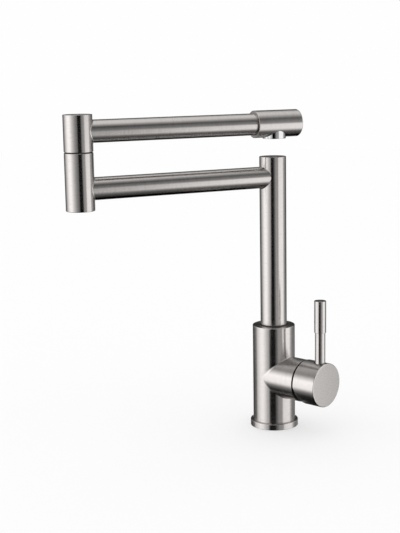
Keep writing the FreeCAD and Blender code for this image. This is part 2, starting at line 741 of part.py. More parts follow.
def make_handle_cap():
    """Turn the handle cap and cut its hollow, stem socket, screw holes and tilting relief."""
    body = turned_piece("handle_cap", LYING, lying(tube_outline(
        "0", "cap_radius", "cap_back", "cap_front", "cap_back_edge", "cap_edge")), **AT_BRANCH)
    hollow = draw_outline(body, "cap_hollow", lying(tube_outline(
        "0", "cap_radius - cap_wall", "cap_back", "cap_back + cap_hollow_depth")))
    turn(body, hollow, LYING, cuts=True)
    socket = draw_outline(body, "stem_socket", [
        ("-stem_width / 2 - fit_gap", "-stem_width / 2 - fit_gap"),
        ("stem_width / 2 + fit_gap", "-stem_width / 2 - fit_gap"),
        ("stem_width / 2 + fit_gap", "stem_width / 2 + fit_gap"),
        ("-stem_width / 2 - fit_gap", "stem_width / 2 + fit_gap"),
    ], plane="YZ_Plane")
    extrude(body, socket, "socket_floor", cuts=True, reverse=True)
    recess = draw_circles(body, "lever_recess", [
        ("lever_reach", "0", "lever_rod_radius + lever_recess_gap")], "XY_Plane",
        z="cap_radius - lever_recess_depth")
    extrude(body, recess, "lever_recess_depth", cuts=True, reverse=True)
    stud_hole = draw_circles(body, "lever_stud_hole", [
        ("lever_reach", "0", "lever_stud_radius + fit_gap")], "XY_Plane",
        z="cap_radius - lever_recess_depth - lever_stud_length")
    extrude(body, stud_hole, "lever_stud_length", cuts=True, reverse=True)
    grub_hole = draw_circles(body, "grub_hole", [("grub_reach", "0", "grub_radius + fit_gap")], "XY_Plane")
    extrude(body, grub_hole, "cap_radius", cuts=True)
    relief = draw_outline(body, "tilting_relief", [
        ("cap_back - overrun", "-relief_start"),
        ("cap_back", "-relief_start"),
        ("cap_back + (cap_radius + overrun - relief_start) * tan(relief_angle)", "-cap_radius - overrun"),
        ("cap_back - overrun", "-cap_radius - overrun"),
    ])
    extrude(body, relief, "2 * cap_radius + overrun", cuts=True, both_ways=True)
    return body


def make_grub_screw():
    """Turn the grub screw that presses on the stem from below, with its key socket."""
    body = make_body("grub_screw", x="grub_reach", height="branch_height")
    outline = draw_outline(body, "grub_outline", tube_outline(
        "0", "grub_radius", "-stem_width / 2 - grub_length", "-stem_width / 2"))
    turn(body, outline, UPRIGHT)
    key = draw_circles(body, "grub_key", [("0", "0", "grub_key_radius")], "XY_Plane",
                       z="-stem_width / 2 - grub_length")
    extrude(body, key, "grub_key_depth", cuts=True, reverse=True)
    return body


def make_lever_rod():
    """Turn the lever rod, with the stud that screws into the cap and the core of the grip."""
    return turned_piece("lever_rod", UPRIGHT, [
        ("0", "lever_foot - lever_stud_length"),
        ("lever_stud_radius", "lever_foot - lever_stud_length"),
        ("lever_stud_radius", "lever_foot"),
        ("lever_rod_radius", "lever_foot"),
        ("lever_rod_radius", "lever_step_height"),
        ("lever_core_radius", "lever_step_height"),
        ("lever_core_radius", "lever_grip_top - lever_grip_roof - fit_gap"),
        ("0", "lever_grip_top - lever_grip_roof - fit_gap"),
    ], x="lever_reach")


def make_lever_grip():
    """Turn the wider sleeve over the end of the lever rod."""
    return turned_piece("lever_grip", UPRIGHT, [
        ("0", "lever_grip_top"),
        ("lever_grip_radius - lever_edge", "lever_grip_top"),
        ("lever_grip_radius", "lever_grip_top - lever_edge"),
        ("lever_grip_radius", "lever_step_height + lever_edge"),
        ("lever_grip_radius - lever_edge", "lever_step_height"),
        ("lever_core_radius + fit_gap", "lever_step_height"),
        ("lever_core_radius + fit_gap", "lever_grip_top - lever_grip_roof"),
        ("0", "lever_grip_top - lever_grip_roof"),
    ], x="lever_reach")


# Riser and lower arm

def cut_ring_groove(body, name, floor, rim, foot, top):
    """Cut one square groove round an upright spindle."""
    turn(body, draw_outline(body, name, tube_outline(floor, rim, foot, top)), UPRIGHT, cuts=True)


def make_riser_spigot():
    """Turn the spigot that carries the riser, with two seal grooves and a snap ring groove."""
    body = turned_piece("riser_spigot", UPRIGHT, [
        ("spigot_bore_radius", "spigot_foot"),
        ("spigot_radius", "spigot_foot"),
        ("spigot_radius", "riser_foot"),
        ("riser_bore - fit_gap", "riser_foot"),
        ("riser_bore - fit_gap", "riser_foot + spigot_plug_length"),
        ("spigot_bore_radius", "riser_foot + spigot_plug_length"),
    ], **ON_LOWER_ARM)
    for name, height in (("upper_seal_groove", "upper_seal_height"),
                         ("lower_seal_groove", "lower_seal_height")):
        cut_ring_groove(body, name, "spigot_radius - 2 * seal_section_radius - fit_gap",
                        "spigot_radius + overrun", height + " - seal_section_radius - fit_gap",
                        height + " + seal_section_radius + fit_gap")
    cut_ring_groove(body, "snap_groove", "spigot_radius - snap_depth", "spigot_radius + overrun",
                    "snap_top - snap_thickness - fit_gap", "snap_top + fit_gap")
    return body


def make_seal(name, height, spindle, section, **place):
    """Turn one round-section seal that rides in a spindle's groove."""
    body = make_body(name, **place)
    circle = draw_circles(body, name + "_section", [(spindle + " - " + section, height, section)],
                          "XZ_Plane")
    turn(body, circle, UPRIGHT)
    return body


def make_snap_ring(name, inner, outer, foot, top, **place):
    """Turn a snap ring and cut its gap."""
    body = turned_piece(name, UPRIGHT, tube_outline(inner, outer, foot, top), **place)
    gap = draw_outline(body, name + "_gap", [
        ("0", "-snap_slot_width / 2"),
        (outer + " + overrun", "-snap_slot_width / 2"),
        (outer + " + overrun", "snap_slot_width / 2"),
        ("0", "snap_slot_width / 2"),
    ], plane="XY_Plane", z=top)
    extrude(body, gap, "%s - (%s)" % (top, foot), cuts=True)
    return body


def make_riser_tube():
    """Turn the riser tube and bore it where the lower arm is welded on."""
    body = turned_piece("riser_tube", UPRIGHT, tube_outline(
        "riser_bore", "riser_radius", "riser_foot", "riser_lid_foot", foot_edge="riser_edge"),
        **ON_LOWER_ARM)
    port = draw_circles(body, "riser_port", [("0", "lower_arm_height", "arm_bore")], "YZ_Plane")
    extrude(body, port, "riser_radius + overrun", cuts=True, reverse=True)
    return body


def make_lid(name, bore, radius, edge, face, inner, inward, **place):
    """Turn the welded lid of a tube, flush outside, with a plug that reaches inward."""
    step = "lid_plug_depth"
    outer = [("0", face), ("%s - %s" % (radius, edge), face)]
    if inward == "down":
        outer += [(radius, "%s - %s" % (face, edge)), (radius, inner)]
        plug = [("%s - fit_gap" % bore, inner), ("%s - fit_gap" % bore, "%s - %s" % (inner, step)),
                ("0", "%s - %s" % (inner, step))]
    else:
        outer += [(radius, "%s + %s" % (face, edge)), (radius, inner)]
        plug = [("%s - fit_gap" % bore, inner), ("%s - fit_gap" % bore, "%s + %s" % (inner, step)),
                ("0", "%s + %s" % (inner, step))]
    return turned_piece(name, UPRIGHT, outer + plug, **place)


def make_arm_tube(name, length, copes, **place):
    """Turn a lying arm tube and cope its ends to the round posts that it is welded to."""
    body = turned_piece(name, LYING, lying(tube_outline("arm_bore", "arm_radius", "0", length)), **place)
    posts = draw_circles(body, name + "_copes", copes, "XY_Plane")
    extrude(body, posts, "2 * arm_radius + overrun", cuts=True, both_ways=True)
    return body


def make_lower_post():
    """Turn the lower elbow post and bore it where the lower arm is welded on."""
    body = turned_piece("lower_elbow_post", UPRIGHT, tube_outline(
        "post_bore", "post_radius", "lower_post_floor", "elbow_seam_height", top_edge="post_edge"),
        **AT_LOWER_ELBOW)
    port = draw_circles(body, "lower_post_port", [("0", "lower_arm_height", "arm_bore")], "YZ_Plane")
    extrude(body, port, "post_radius + overrun", cuts=True)
    return body


def make_elbow_spindle():
    """Turn the hollow spindle that the upper post turns on."""
    body = turned_piece("elbow_spindle", UPRIGHT, [
        ("spindle_bore_radius", "elbow_seam_height - spindle_plug_length"),
        ("post_bore - fit_gap", "elbow_seam_height - spindle_plug_length"),
        ("post_bore - fit_gap", "elbow_seam_height"),
        ("spindle_radius", "elbow_seam_height"),
        ("spindle_radius", "spindle_top"),
        ("spindle_bore_radius", "spindle_top"),
    ], **AT_LOWER_ELBOW)
    for name, height in (("lower_elbow_seal_groove", "lower_elbow_seal_height"),
                         ("upper_elbow_seal_groove", "upper_elbow_seal_height")):
        cut_ring_groove(body, name, "spindle_radius - 2 * elbow_seal_section_radius - fit_gap",
                        "spindle_radius + overrun", height + " - elbow_seal_section_radius - fit_gap",
                        height + " + elbow_seal_section_radius + fit_gap")
    cut_ring_groove(body, "elbow_snap_groove", "spindle_radius - elbow_snap_depth",
                    "spindle_radius + overrun", "elbow_snap_foot - fit_gap", "elbow_snap_top + fit_gap")
    return body


def make_elbow_glide():
    """Turn the glide ring between the two posts."""
    return turned_piece("elbow_glide_ring", UPRIGHT, tube_outline(
        "spindle_radius + running_gap", "elbow_glide_radius", "elbow_seam_height",
        "elbow_seam_height + elbow_glide_thickness"), **AT_LOWER_ELBOW)


# Upper arm and spout

def make_elbow_bush():
    """Turn the bush in the foot of the upper post."""
    return turned_piece("elbow_bush", UPRIGHT, tube_outline(
        "spindle_radius + running_gap", "post_bore - fit_gap", "upper_post_foot", "bush_top"),
        **AT_UPPER_ELBOW)


def make_upper_post():
    """Turn the upper elbow post and bore it where the upper arm is welded on."""
    body = turned_piece("upper_elbow_post", UPRIGHT, tube_outline(
        "post_bore", "post_radius", "upper_post_foot", "upper_post_lid_foot", foot_edge="post_edge"),
        **AT_UPPER_ELBOW)
    port = draw_circles(body, "upper_post_port", [("0", "upper_arm_height", "arm_bore")], "YZ_Plane")
    extrude(body, port, "post_radius + overrun", cuts=True, reverse=True)
    return body


def make_spout_head():
    """Turn the spout head, bore it from the arm and counterbore it for the aerator."""
    body = turned_piece("spout_head", LYING, [
        ("head_start", "arm_radius + fit_gap"),
        ("head_start", "head_radius - head_edge"),
        ("head_start + head_edge", "head_radius"),
        ("head_end", "head_radius"),
        ("head_end", "0"),
        ("head_bore_end", "0"),
        ("head_bore_end", "head_bore_radius"),
        ("arm_end", "head_bore_radius"),
        ("arm_end", "arm_radius + fit_gap"),
    ], **AT_UPPER_ARM)
    outlet = draw_circles(body, "outlet_way", [("aerator_reach", "0", "aerator_washer_bore_radius")],
                          "XY_Plane")
    extrude(body, outlet, "aerator_seat_drop", cuts=True)
    seat = draw_circles(body, "aerator_hole", [("aerator_reach", "0", "aerator_radius + fit_gap")],
                        "XY_Plane", z="-aerator_seat_drop")
    extrude(body, seat, "head_radius", cuts=True)
    before = volume_of(body)
    bored = body.Tip
    far_centre = FreeCAD.Vector(sheet.aerator_reach + sheet.head_beyond_outlet, 0, 0)
    far_rim = rim_name(bored.Shape, far_centre, sheet.arm_radius + sheet.head_step)
    rounding = body.newObject("PartDesign::Fillet", "head_rounding")
    rounding.Base = (bored, [far_rim])
    rounding.setExpression("Radius", formula("head_round"))
    settle(body, rounding, before, cuts=True)
    return body


def rim_name(shape, centre, radius):
    """Find the circular edge with this centre and radius, in the piece's own frame."""
    for number, edge in enumerate(shape.Edges, start=1):
        curve = edge.Curve
        if not isinstance(curve, Part.Circle):
            continue
        near = curve.Center.distanceToPoint(centre) < SIZES["fit_gap"]
        if near and abs(curve.Radius - radius) < SIZES["fit_gap"]:
            return "Edge%d" % number
    raise ValueError("no rim of that radius")


def make_aerator_housing():
    """Turn the aerator's threaded shell, with the lip that holds its core."""
    return turned_piece("aerator_housing", UPRIGHT, [
        ("aerator_bore - aerator_lip_width", "aerator_foot"),
        ("aerator_radius - aerator_edge", "aerator_foot"),
        ("aerator_radius", "aerator_foot + aerator_edge"),
        ("aerator_radius", "aerator_top"),
        ("aerator_bore", "aerator_top"),
        ("aerator_bore", "core_foot"),
        ("aerator_bore - aerator_lip_width", "core_foot"),
    ], **AT_AERATOR)


def make_aerator_core():
    """Turn the aerator's plastic core and drill its rings of water cells."""
    body = turned_piece("aerator_core", UPRIGHT, tube_outline(
        "0", "aerator_bore - fit_gap", "core_foot", "core_top"), **AT_AERATOR)
    centre = draw_circles(body, "middle_cell", [("0", "0", "aerator_cell_radius")], "XY_Plane",
                          z="core_top")
    extrude(body, centre, "core_top - core_foot", cuts=True)
    for ring, count in ((1, 6), (2, 12), (3, 18)):
        cell = draw_circles(body, "cell_ring_%d" % ring, [
            ("%d * aerator_cell_pitch" % ring, "0", "aerator_cell_radius")], "XY_Plane", z="core_top")
        drilled = extrude(body, cell, "core_top - core_foot", cuts=True)
        repeat_round(body, drilled, (cell, ["N_Axis"]), count)
    return body


def make_aerator_screen():
    """Turn the screen that lies on the core."""
    return turned_piece("aerator_screen", UPRIGHT, tube_outline(
        "0", "aerator_bore - fit_gap", "core_top", "core_top + aerator_screen_thickness"),
        **AT_AERATOR)


def make_aerator_washer():
    """Turn the washer between the aerator's shell and the head."""
    return turned_piece("aerator_washer", UPRIGHT, tube_outline(
        "aerator_washer_bore_radius", "aerator_radius", "aerator_top", "aerator_seat"),
        **AT_AERATOR)


AT_UPPER_ARM = {"x": "elbow_x", "y": "elbow_y", "height": "upper_arm_height",
                "heading": "upper_arm_heading"}
AT_AERATOR = {"x": "elbow_x + aerator_reach * cos(upper_arm_heading)",
              "y": "elbow_y + aerator_reach * sin(upper_arm_heading)",
              "heading": "upper_arm_heading"}

pieces = [
    make_base_ring(),
    make_base_gasket(),
    make_faucet_body(),
    make_inlet_block(),
    make_supply_tube("hot_supply_tube", "-inlet_spread"),
    make_supply_tube("cold_supply_tube", "inlet_spread"),
    make_valve_block(),
    make_swivel_socket(),
    make_riser_glide(),
    make_cartridge_floor(),
    make_port_seals(),
    make_fixed_disc(),
    make_cartridge_housing(),
    make_cartridge_nut(),
    make_moving_disc(),
    make_disc_carrier(),
    make_rotor(),
    make_stem_pin(),
    make_lever_stem(),
    make_handle_cap(),
    make_grub_screw(),
    make_lever_rod(),
    make_lever_grip(),
    make_riser_spigot(),
    make_seal("upper_spigot_seal", "upper_seal_height", "spigot_radius", "seal_section_radius",
              **ON_LOWER_ARM),
    make_seal("lower_spigot_seal", "lower_seal_height", "spigot_radius", "seal_section_radius",
              **ON_LOWER_ARM),
    make_snap_ring("spigot_snap_ring", "spigot_radius - snap_depth + fit_gap", "snap_radius",
                   "snap_top - snap_thickness", "snap_top", **ON_LOWER_ARM),
    make_riser_tube(),
    make_lid("riser_lid", "riser_bore", "riser_radius", "riser_edge", "riser_height",
             "riser_lid_foot", "down", **ON_LOWER_ARM),
    make_arm_tube("lower_arm_tube", "elbow_reach",
                  [("0", "0", "riser_radius"), ("elbow_reach", "0", "post_radius")],
                  height="lower_arm_height", heading="lower_arm_heading"),
    make_lower_post(),
    make_lid("lower_post_lid", "post_bore", "post_radius", "post_edge", "lower_post_foot",
             "lower_post_floor", "up", **AT_LOWER_ELBOW),
    make_elbow_spindle(),
    make_seal("lower_elbow_seal", "lower_elbow_seal_height", "spindle_radius",
              "elbow_seal_section_radius", **AT_LOWER_ELBOW),
    make_seal("upper_elbow_seal", "upper_elbow_seal_height", "spindle_radius",
              "elbow_seal_section_radius", **AT_LOWER_ELBOW),
    make_snap_ring("elbow_snap_ring", "spindle_radius - elbow_snap_depth + fit_gap",
                   "elbow_snap_radius", "elbow_snap_foot", "elbow_snap_top", **AT_LOWER_ELBOW),
    make_elbow_glide(),
    make_elbow_bush(),
    make_upper_post(),
    make_lid("upper_post_lid", "post_bore", "post_radius", "post_edge", "upper_post_top",
             "upper_post_lid_foot", "down", **AT_UPPER_ELBOW),
    make_arm_tube("upper_arm_tube", "arm_end",
                  [("0", "0", "post_radius")], **AT_UPPER_ARM),
    make_spout_head(),
    make_aerator_housing(),
    make_aerator_core(),
    make_aerator_screen(),
    make_aerator_washer(),
]

document.recompute()
for item in document.Objects:
    if "Invalid" in item.State or "Error" in item.State:
        raise ValueError("%s failed: %s" % (item.Name, item.State))
for piece in pieces:
    if piece.Shape.isNull() or not piece.Shape.isValid():
        raise ValueError("%s has no valid shape" % piece.Label)

os.makedirs("parts", exist_ok=True)
for piece in pieces:
    piece.Shape.exportStep("parts/%s.step" % piece.Label)
    print("%-22s solids %d  volume %10.1f mm3" % (piece.Label, len(piece.Shape.Solids), piece.Shape.Volume))
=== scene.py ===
"""Looks of a folding kitchen faucet of brushed steel tube, with a side lever and an elbowed spout."""

import json
import logging
import math
from collections.abc import Sequence
from dataclasses import dataclass, replace
from enum import Enum

import bmesh
import bpy
import numpy as np
from mathutils import Matrix, Vector


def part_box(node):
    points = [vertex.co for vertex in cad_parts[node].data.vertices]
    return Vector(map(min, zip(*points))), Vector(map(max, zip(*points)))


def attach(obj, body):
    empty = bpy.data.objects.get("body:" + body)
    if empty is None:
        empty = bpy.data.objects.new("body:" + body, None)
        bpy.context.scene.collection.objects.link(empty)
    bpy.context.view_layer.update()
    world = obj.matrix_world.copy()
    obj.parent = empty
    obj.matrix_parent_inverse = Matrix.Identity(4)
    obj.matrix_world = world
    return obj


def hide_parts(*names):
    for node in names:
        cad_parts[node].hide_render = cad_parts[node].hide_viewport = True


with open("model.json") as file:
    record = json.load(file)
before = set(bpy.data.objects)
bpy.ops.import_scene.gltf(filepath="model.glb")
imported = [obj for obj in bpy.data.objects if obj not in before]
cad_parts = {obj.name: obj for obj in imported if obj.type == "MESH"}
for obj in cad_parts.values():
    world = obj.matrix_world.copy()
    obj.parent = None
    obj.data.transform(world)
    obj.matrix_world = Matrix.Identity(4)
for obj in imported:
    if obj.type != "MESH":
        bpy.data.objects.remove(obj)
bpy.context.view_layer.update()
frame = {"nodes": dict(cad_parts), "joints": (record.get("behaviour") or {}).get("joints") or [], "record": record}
LOG = logging.getLogger("faucet")

# Sizes of pieces are in millimetres and the scene is in metres
MM = 0.001
X_AXIS = Vector((1.0, 0.0, 0.0))
Z_AXIS = Vector((0.0, 0.0, 1.0))

# Clearance round a piece that sits in another
SLACK = 0.05

# Distance of a support ring from its edge, and the most that it takes of the room beside it
SUPPORT = 0.12
SUPPORT_SHARE = 0.3
SHARP_ANGLE = math.radians(32.0)

# Least length of an outline's stretch in millimetres, so that nothing is divided by 0
LEAST_LENGTH = 1e-9

# Distances in metres under which two points are one, in a turned piece and in a tree
SAME_POINT = 1e-8
SEWING_GAP = 1e-7

# Facets round a full turn
WIDE_FACETS = 192
TUBE_FACETS = 160
AERATOR_FACETS = 144
SLIM_FACETS = 96
SCREW_FACETS = 64
DRILL_FACETS = 24

# Stretches of a random value, which stays near 0.5, that a finish spreads over its whole range
SWING = (0.3, 0.7)
WIDE_SWING = (0.25, 0.75)
WEAR_AND_HIGHLIGHT_SWING = (0.35, 0.6)
DUST_SWING = (0.35, 0.75)

# Rotation that lays a metal's highlights along the tube, as a share of a full turn
QUARTER_TURN = 0.25

Pair = tuple[float, float]
Triple = tuple[float, float, float]
Point = tuple[float | np.ndarray, ...]
Output = bpy.types.NodeSocket


# Finishes


class Recipe:
    """The nodes of one finish or of the light round the faucet, while they are being put together."""

    def __init__(self, tree: bpy.types.NodeTree) -> None:
        """Starts with a node tree that it empties."""
        self.tree = tree
        self.tree.nodes.clear()

    def add(self, kind: str, feeds: dict[str | int, object] | None = None,
            **settings: object) -> bpy.types.Node:
        """Adds one node.

        Args:
            kind: Blender's name for the node's type.
            feeds: what goes into its sockets, each a number, a colour or another node's output.
            **settings: the node's own properties.

        Returns:
            The node.
        """
        node = self.tree.nodes.new(kind)
        for name, value in settings.items():
            setattr(node, name, value)
        for key, value in (feeds or {}).items():
            self.feed(node, key, value)
        return node

    def feed(self, node: bpy.types.Node, key: str | int, value: object) -> None:
        """Puts a constant or another node's output into a socket.

        Args:
            node: the node that takes it.
            key: the socket's name or number.
            value: a number, a colour, a vector or an output.
        """
        socket = node.inputs[key]
        if isinstance(value, Output):
            self.tree.links.new(value, socket)
        elif isinstance(value, tuple) and socket.type == "RGBA":
            socket.default_value = (*value, 1.0)
        else:
            socket.default_value = value

    def show(self, shader: bpy.types.Node, output: str = "ShaderNodeOutputMaterial") -> None:
        """Leads a shader to the output of its material or of the world."""
        self.feed(self.add(output), "Surface", shader.outputs[0])

    def math(self, operation: str, *values: object) -> Output:
        """Joins up to three numbers by one operation."""
        return self.add("ShaderNodeMath", dict(enumerate(values)), operation=operation).outputs[0]

    def times(self, *values: object) -> Output:
        """Multiplies two numbers."""
        return self.math("MULTIPLY", *values)

    def vector(self, operation: str, *values: object) -> Output:
        """Joins up to two vectors, into a number for a length or a dot product."""
        node = self.add("ShaderNodeVectorMath", dict(enumerate(values)), operation=operation)
        return node.outputs["Value" if operation in ("LENGTH", "DOT_PRODUCT") else "Vector"]

    def parts(self, vector: object) -> Sequence[Output]:
        """Splits a vector into its three numbers."""
        return self.add("ShaderNodeSeparateXYZ", {0: vector}).outputs

    def point(self, x: object, y: object, z: object) -> Output:
        """Joins three numbers to a vector."""
        return self.add("ShaderNodeCombineXYZ", {0: x, 1: y, 2: z}).outputs[0]

    def place(self, space: str = "Object") -> Output:
        """Reads the place of the point that is shaded."""
        return self.add("ShaderNodeTexCoord").outputs[space]

    def noise(self, place: Output, detail: float = 2.0, scale: float = 1.0) -> Output:
        """Reads a smooth random value, about 0.5, with so many finer layers and spots to one unit."""
        node = self.add("ShaderNodeTexNoise", {"Vector": place, "Scale": scale, "Detail": detail})
        return node.outputs[0]

    def spread(self, value: object, low: float, high: float, to_low: float, to_high: float) -> Output:
        """Stretches the range from low to high onto another and cuts off what lies outside."""
        feeds = {"Value": value, "From Min": low, "From Max": high, "To Min": to_low, "To Max": to_high}
        return self.add("ShaderNodeMapRange", feeds).outputs["Result"]

    def mix(self, share: object, first: object, second: object) -> Output:
        """Mixes two colours, share 0 for the first and 1 for the second."""
        # The node's inputs 6 and 7 and its output 2 are the ones for colours
        node = self.add("ShaderNodeMix", {0: share, 6: first, 7: second}, data_type="RGBA")
        return node.outputs[2]

    def ramp(self, value: object, stops: Sequence[Pair]) -> Output:
        """Turns a number from 0 to 1 into a grey by a row of stops.

        Args:
            value: the number or output.
            stops: each stop's place and its grey level.

        Returns:
            The colour's output.
        """
        node = self.add("ShaderNodeValToRGB", {0: value})
        elements = node.color_ramp.elements
        while len(elements) < len(stops):
            elements.new(1.0)
        for element, (place, level) in zip(elements, stops):
            element.position = place
            element.color = (*grey(level), 1.0)
        return node.outputs["Color"]

    def bump(self, height: object, depth: float) -> Output:
        """Tilts the surface by a height, 1 for the full depth in metres."""
        feeds = {"Strength": 1.0, "Distance": depth, "Height": height}
        return self.add("ShaderNodeBump", feeds).outputs["Normal"]


def grey(level: float) -> Triple:
    """The grey of one level."""
    return (level, level, level)


def blank(name: str) -> tuple[bpy.types.Material, Recipe]:
    """Starts a material.

    Args:
        name: the material's name.

    Returns:
        The material and its empty sheet of nodes.
    """
    material = bpy.data.materials.new(name)
    material.use_nodes = True
    return material, Recipe(material.node_tree)


class Grain(Enum):
    """Where the turned or brushed lines of a metal run."""

    ROUND = "round the tube"
    STRAIGHT = "level across a flat face"
    NONE = "no lines"


@dataclass(frozen=True)
class Metal:
    """A metal, with fine lines round its tube's axis where it was brushed or turned.

    Attributes:
        name: the finish's name.
        slot: the record's slot that it stands for; not used.
        colour: its plain colour.
        roughness: how dull it is.
        anisotropy: how far its highlights stretch along the tube.
        grain: where its lines run.
        pitch: distance between two lines, in metres.
        depth: their depth, in metres.
        broad: how many lines a broad streak takes up.
        streak: how far the broad streaks differ in tone.
        stretch: how often a line breaks off, to one metre.
        clouds: number of stains to one metre.
        specks: number of specks to one metre.
        wear_and_highlight: how far its worn edges are lightened, partly real rubbed wear and partly a painted
            highlight.
        thin_wear_and_highlight_share: share of that where the wear and highlight are thin.
        rub_and_highlight: what wear takes off its roughness, and what wear and painted highlight add to its
            colour.
        stain_dull: shares of its roughness between and in stains.
        stain_tone: shares of its tone there.
        speck_tone: shares of its tone between and in specks.
        line_dull: shares of its roughness between and in lines.
        line_tone: shares of its tone there.
        along: direction of the tube's axis.
        through: a point on that axis.
    """

    name: str
    slot: str
    colour: Triple
    roughness: float
    anisotropy: float = 0.0
    grain: Grain = Grain.ROUND
    pitch: float = 0.00022
    depth: float = 0.0000006
    broad: float = 6.0
    streak: float = 0.09
    stretch: float = 120.0
    clouds: float = 70.0
    specks: float = 900.0
    wear_and_highlight: float = 0.7
    thin_wear_and_highlight_share: float = 0.4
    rub_and_highlight: float = 0.45
    stain_dull: Pair = (0.92, 1.08)
    stain_tone: Pair = (0.97, 1.02)
    speck_tone: Pair = (0.985, 1.01)
    line_dull: Pair = (0.9, 1.12)
    line_tone: Pair = (0.97, 1.02)
    along: Triple = (0.0, 0.0, 1.0)
    through: Triple = (0.0, 0.0, 0.0)

    def build(self) -> bpy.types.Material:
        """Makes the material.

        Returns:
            The material, with its lines, stains and wear from the piece's own coordinates.
        """
        material, sheet = blank(self.name)
        shader = sheet.add("ShaderNodeBsdfPrincipled", {"Metallic": 1.0})
        sheet.show(shader)
        place = sheet.place()
        arm = sheet.vector("SUBTRACT", place, self.through)
        around = sheet.vector("CROSS_PRODUCT", self.along, arm)
        height = sheet.vector("DOT_PRODUCT", arm, self.along)
        travel = sheet.math("ADD", height, sheet.vector("LENGTH", around))
        if self.grain is Grain.STRAIGHT:
            around = sheet.vector("CROSS_PRODUCT", self.along, tuple(Z_AXIS))
            travel = sheet.vector("DOT_PRODUCT", arm, tuple(Z_AXIS))
        cloudy = sheet.noise(place, detail=3.0, scale=self.clouds)
        specks = sheet.noise(place, detail=2.0, scale=self.specks)
        dull = sheet.spread(cloudy, *SWING, *(self.roughness * share for share in self.stain_dull))
        tone = sheet.spread(cloudy, *WIDE_SWING, *self.stain_tone)
        tone = sheet.times(tone, sheet.spread(specks, *SWING, *self.speck_tone))
        if self.grain is not Grain.NONE:
            lines = self.streaks(sheet, place, travel, self.pitch)
            broad = self.streaks(sheet, place, travel, self.pitch * self.broad)
            swing = (*WIDE_SWING, 1.0 - self.streak, 1.0 + self.streak)
            dull = sheet.times(dull, sheet.spread(lines, *WIDE_SWING, *self.line_dull))
            dull = sheet.times(dull, sheet.spread(broad, *swing))
            tone = sheet.times(tone, sheet.spread(lines, *SWING, *self.line_tone))
            tone = sheet.times(tone, sheet.spread(broad, *swing))
            sheet.feed(shader, "Normal", sheet.bump(lines, self.depth))
        if self.anisotropy > 0.0:
            turned = sheet.add("ShaderNodeVectorTransform", {"Vector": around}, vector_type="VECTOR",
                               convert_from="OBJECT", convert_to="WORLD").outputs[0]
            sheet.feed(shader, "Tangent", sheet.vector("NORMALIZE", turned))
            sheet.feed(shader, "Anisotropic", self.anisotropy)
            sheet.feed(shader, "Anisotropic Rotation", QUARTER_TURN)
        # Worn edges and welds get a lower roughness, which is real wear, and a lighter colour, which is partly
        # wear and partly a painted highlight on rims and weld lines
        edge = sheet.add("ShaderNodeAttribute", attribute_name="worn_and_highlit").outputs["Fac"]
        edge = sheet.times(edge, sheet.spread(cloudy, *WEAR_AND_HIGHLIGHT_SWING, self.wear_and_highlight * self.thin_wear_and_highlight_share, self.wear_and_highlight))
        polish = sheet.math("MULTIPLY_ADD", edge, -self.rub_and_highlight, 1.0)
        sheet.feed(shader, "Roughness", sheet.times(dull, polish))
        plain = sheet.mix(tone, grey(0.0), self.colour)
        rubbed_and_highlit = tuple(share + (1.0 - share) * self.rub_and_highlight for share in self.colour)
        sheet.feed(shader, "Base Color", sheet.mix(edge, plain, rubbed_and_highlit))
        return material

    def streaks(self, sheet: Recipe, place: Output, travel: Output, pitch: float) -> Output:
        """Draws long thin streaks.

        Args:
            sheet: the finish's nodes.
            place: the point's place.
            travel: its way across the streaks, in metres.
            pitch: distance between two streaks, in metres.

        Returns:
            Their strength, about 0.5.
        """
        x, y, z = sheet.parts(place)
        spot = sheet.point(sheet.times(travel, 1.0 / pitch),
                           sheet.times(sheet.math("ADD", x, y), self.stretch),
                           sheet.times(sheet.math("SUBTRACT", y, z), self.stretch))
        return sheet.noise(spot, detail=2.0)


@dataclass(frozen=True)
class Moulded:
    """A rubber, a plastic or a ceramic.

    Attributes:
        name: the finish's name.
        slot: the record's slot that it stands for; not used.
        colour: its plain colour.
        roughness: how dull it is.
        grain_size: size of its moulded grain, in metres.
        depth: depth of that grain, in metres.
        patches: number of dusty patches to one metre.
        dust_dull: shares of its roughness between and in patches.
        dust_gain: how many times as bright a patch is.
        dust_lift: what a patch adds to that.
        dust_cover: how far a patch covers its colour.
    """

    name: str
    slot: str
    colour: Triple
    roughness: float
    grain_size: float = 0.0003
    depth: float = 0.000004
    patches: float = 90.0
    dust_dull: Pair = (0.9, 1.1)
    dust_gain: float = 1.25
    dust_lift: float = 0.01
    dust_cover: float = 0.6

    def build(self) -> bpy.types.Material:
        """Makes the material.

        Returns:
            The material, with a moulded grain and dusty patches.
        """
        material, sheet = blank(self.name)
        shader = sheet.add("ShaderNodeBsdfPrincipled")
        sheet.show(shader)
        place = sheet.place()
        grain = sheet.noise(place, detail=3.0, scale=1.0 / self.grain_size)
        dust = sheet.noise(place, detail=2.0, scale=self.patches)
        dull = sheet.spread(dust, *SWING, *(self.roughness * share for share in self.dust_dull))
        sheet.feed(shader, "Roughness", dull)
        pale = tuple(min(1.0, share * self.dust_gain + self.dust_lift) for share in self.colour)
        covered = sheet.spread(dust, *DUST_SWING, 0.0, self.dust_cover)
        dusty = sheet.mix(covered, self.colour, pale)
        sheet.feed(shader, "Base Color", dusty)
        sheet.feed(shader, "Normal", sheet.bump(grain, self.depth))
        return material


Finish = Metal | Moulded


# Shapes


@dataclass(frozen=True)
class Line:
    """The axis that a piece is turned round. Lengths on it are in millimetres.

    Attributes:
        start: its point at length 0, in millimetres.
        along: its direction.
        zero: direction of angle 0 round it.
    """

    start: Vector
    along: Vector
    zero: Vector

    def ring(self, radius: np.ndarray, travel: np.ndarray, angles: np.ndarray) -> np.ndarray:
        """Gives the points of one ring round the axis.

        Args:
            radius: its radius at each angle.
            travel: its place on the axis at each angle.
            angles: the angles of its points, in radians.

        Returns:
            Its points in metres, one row each.
        """
        side = self.along.cross(self.zero)
        out = np.outer(np.cos(angles), self.zero) + np.outer(np.sin(angles), side)
        return (np.array(self.start) + out * radius[:, None] + np.outer(travel, self.along)) * MM


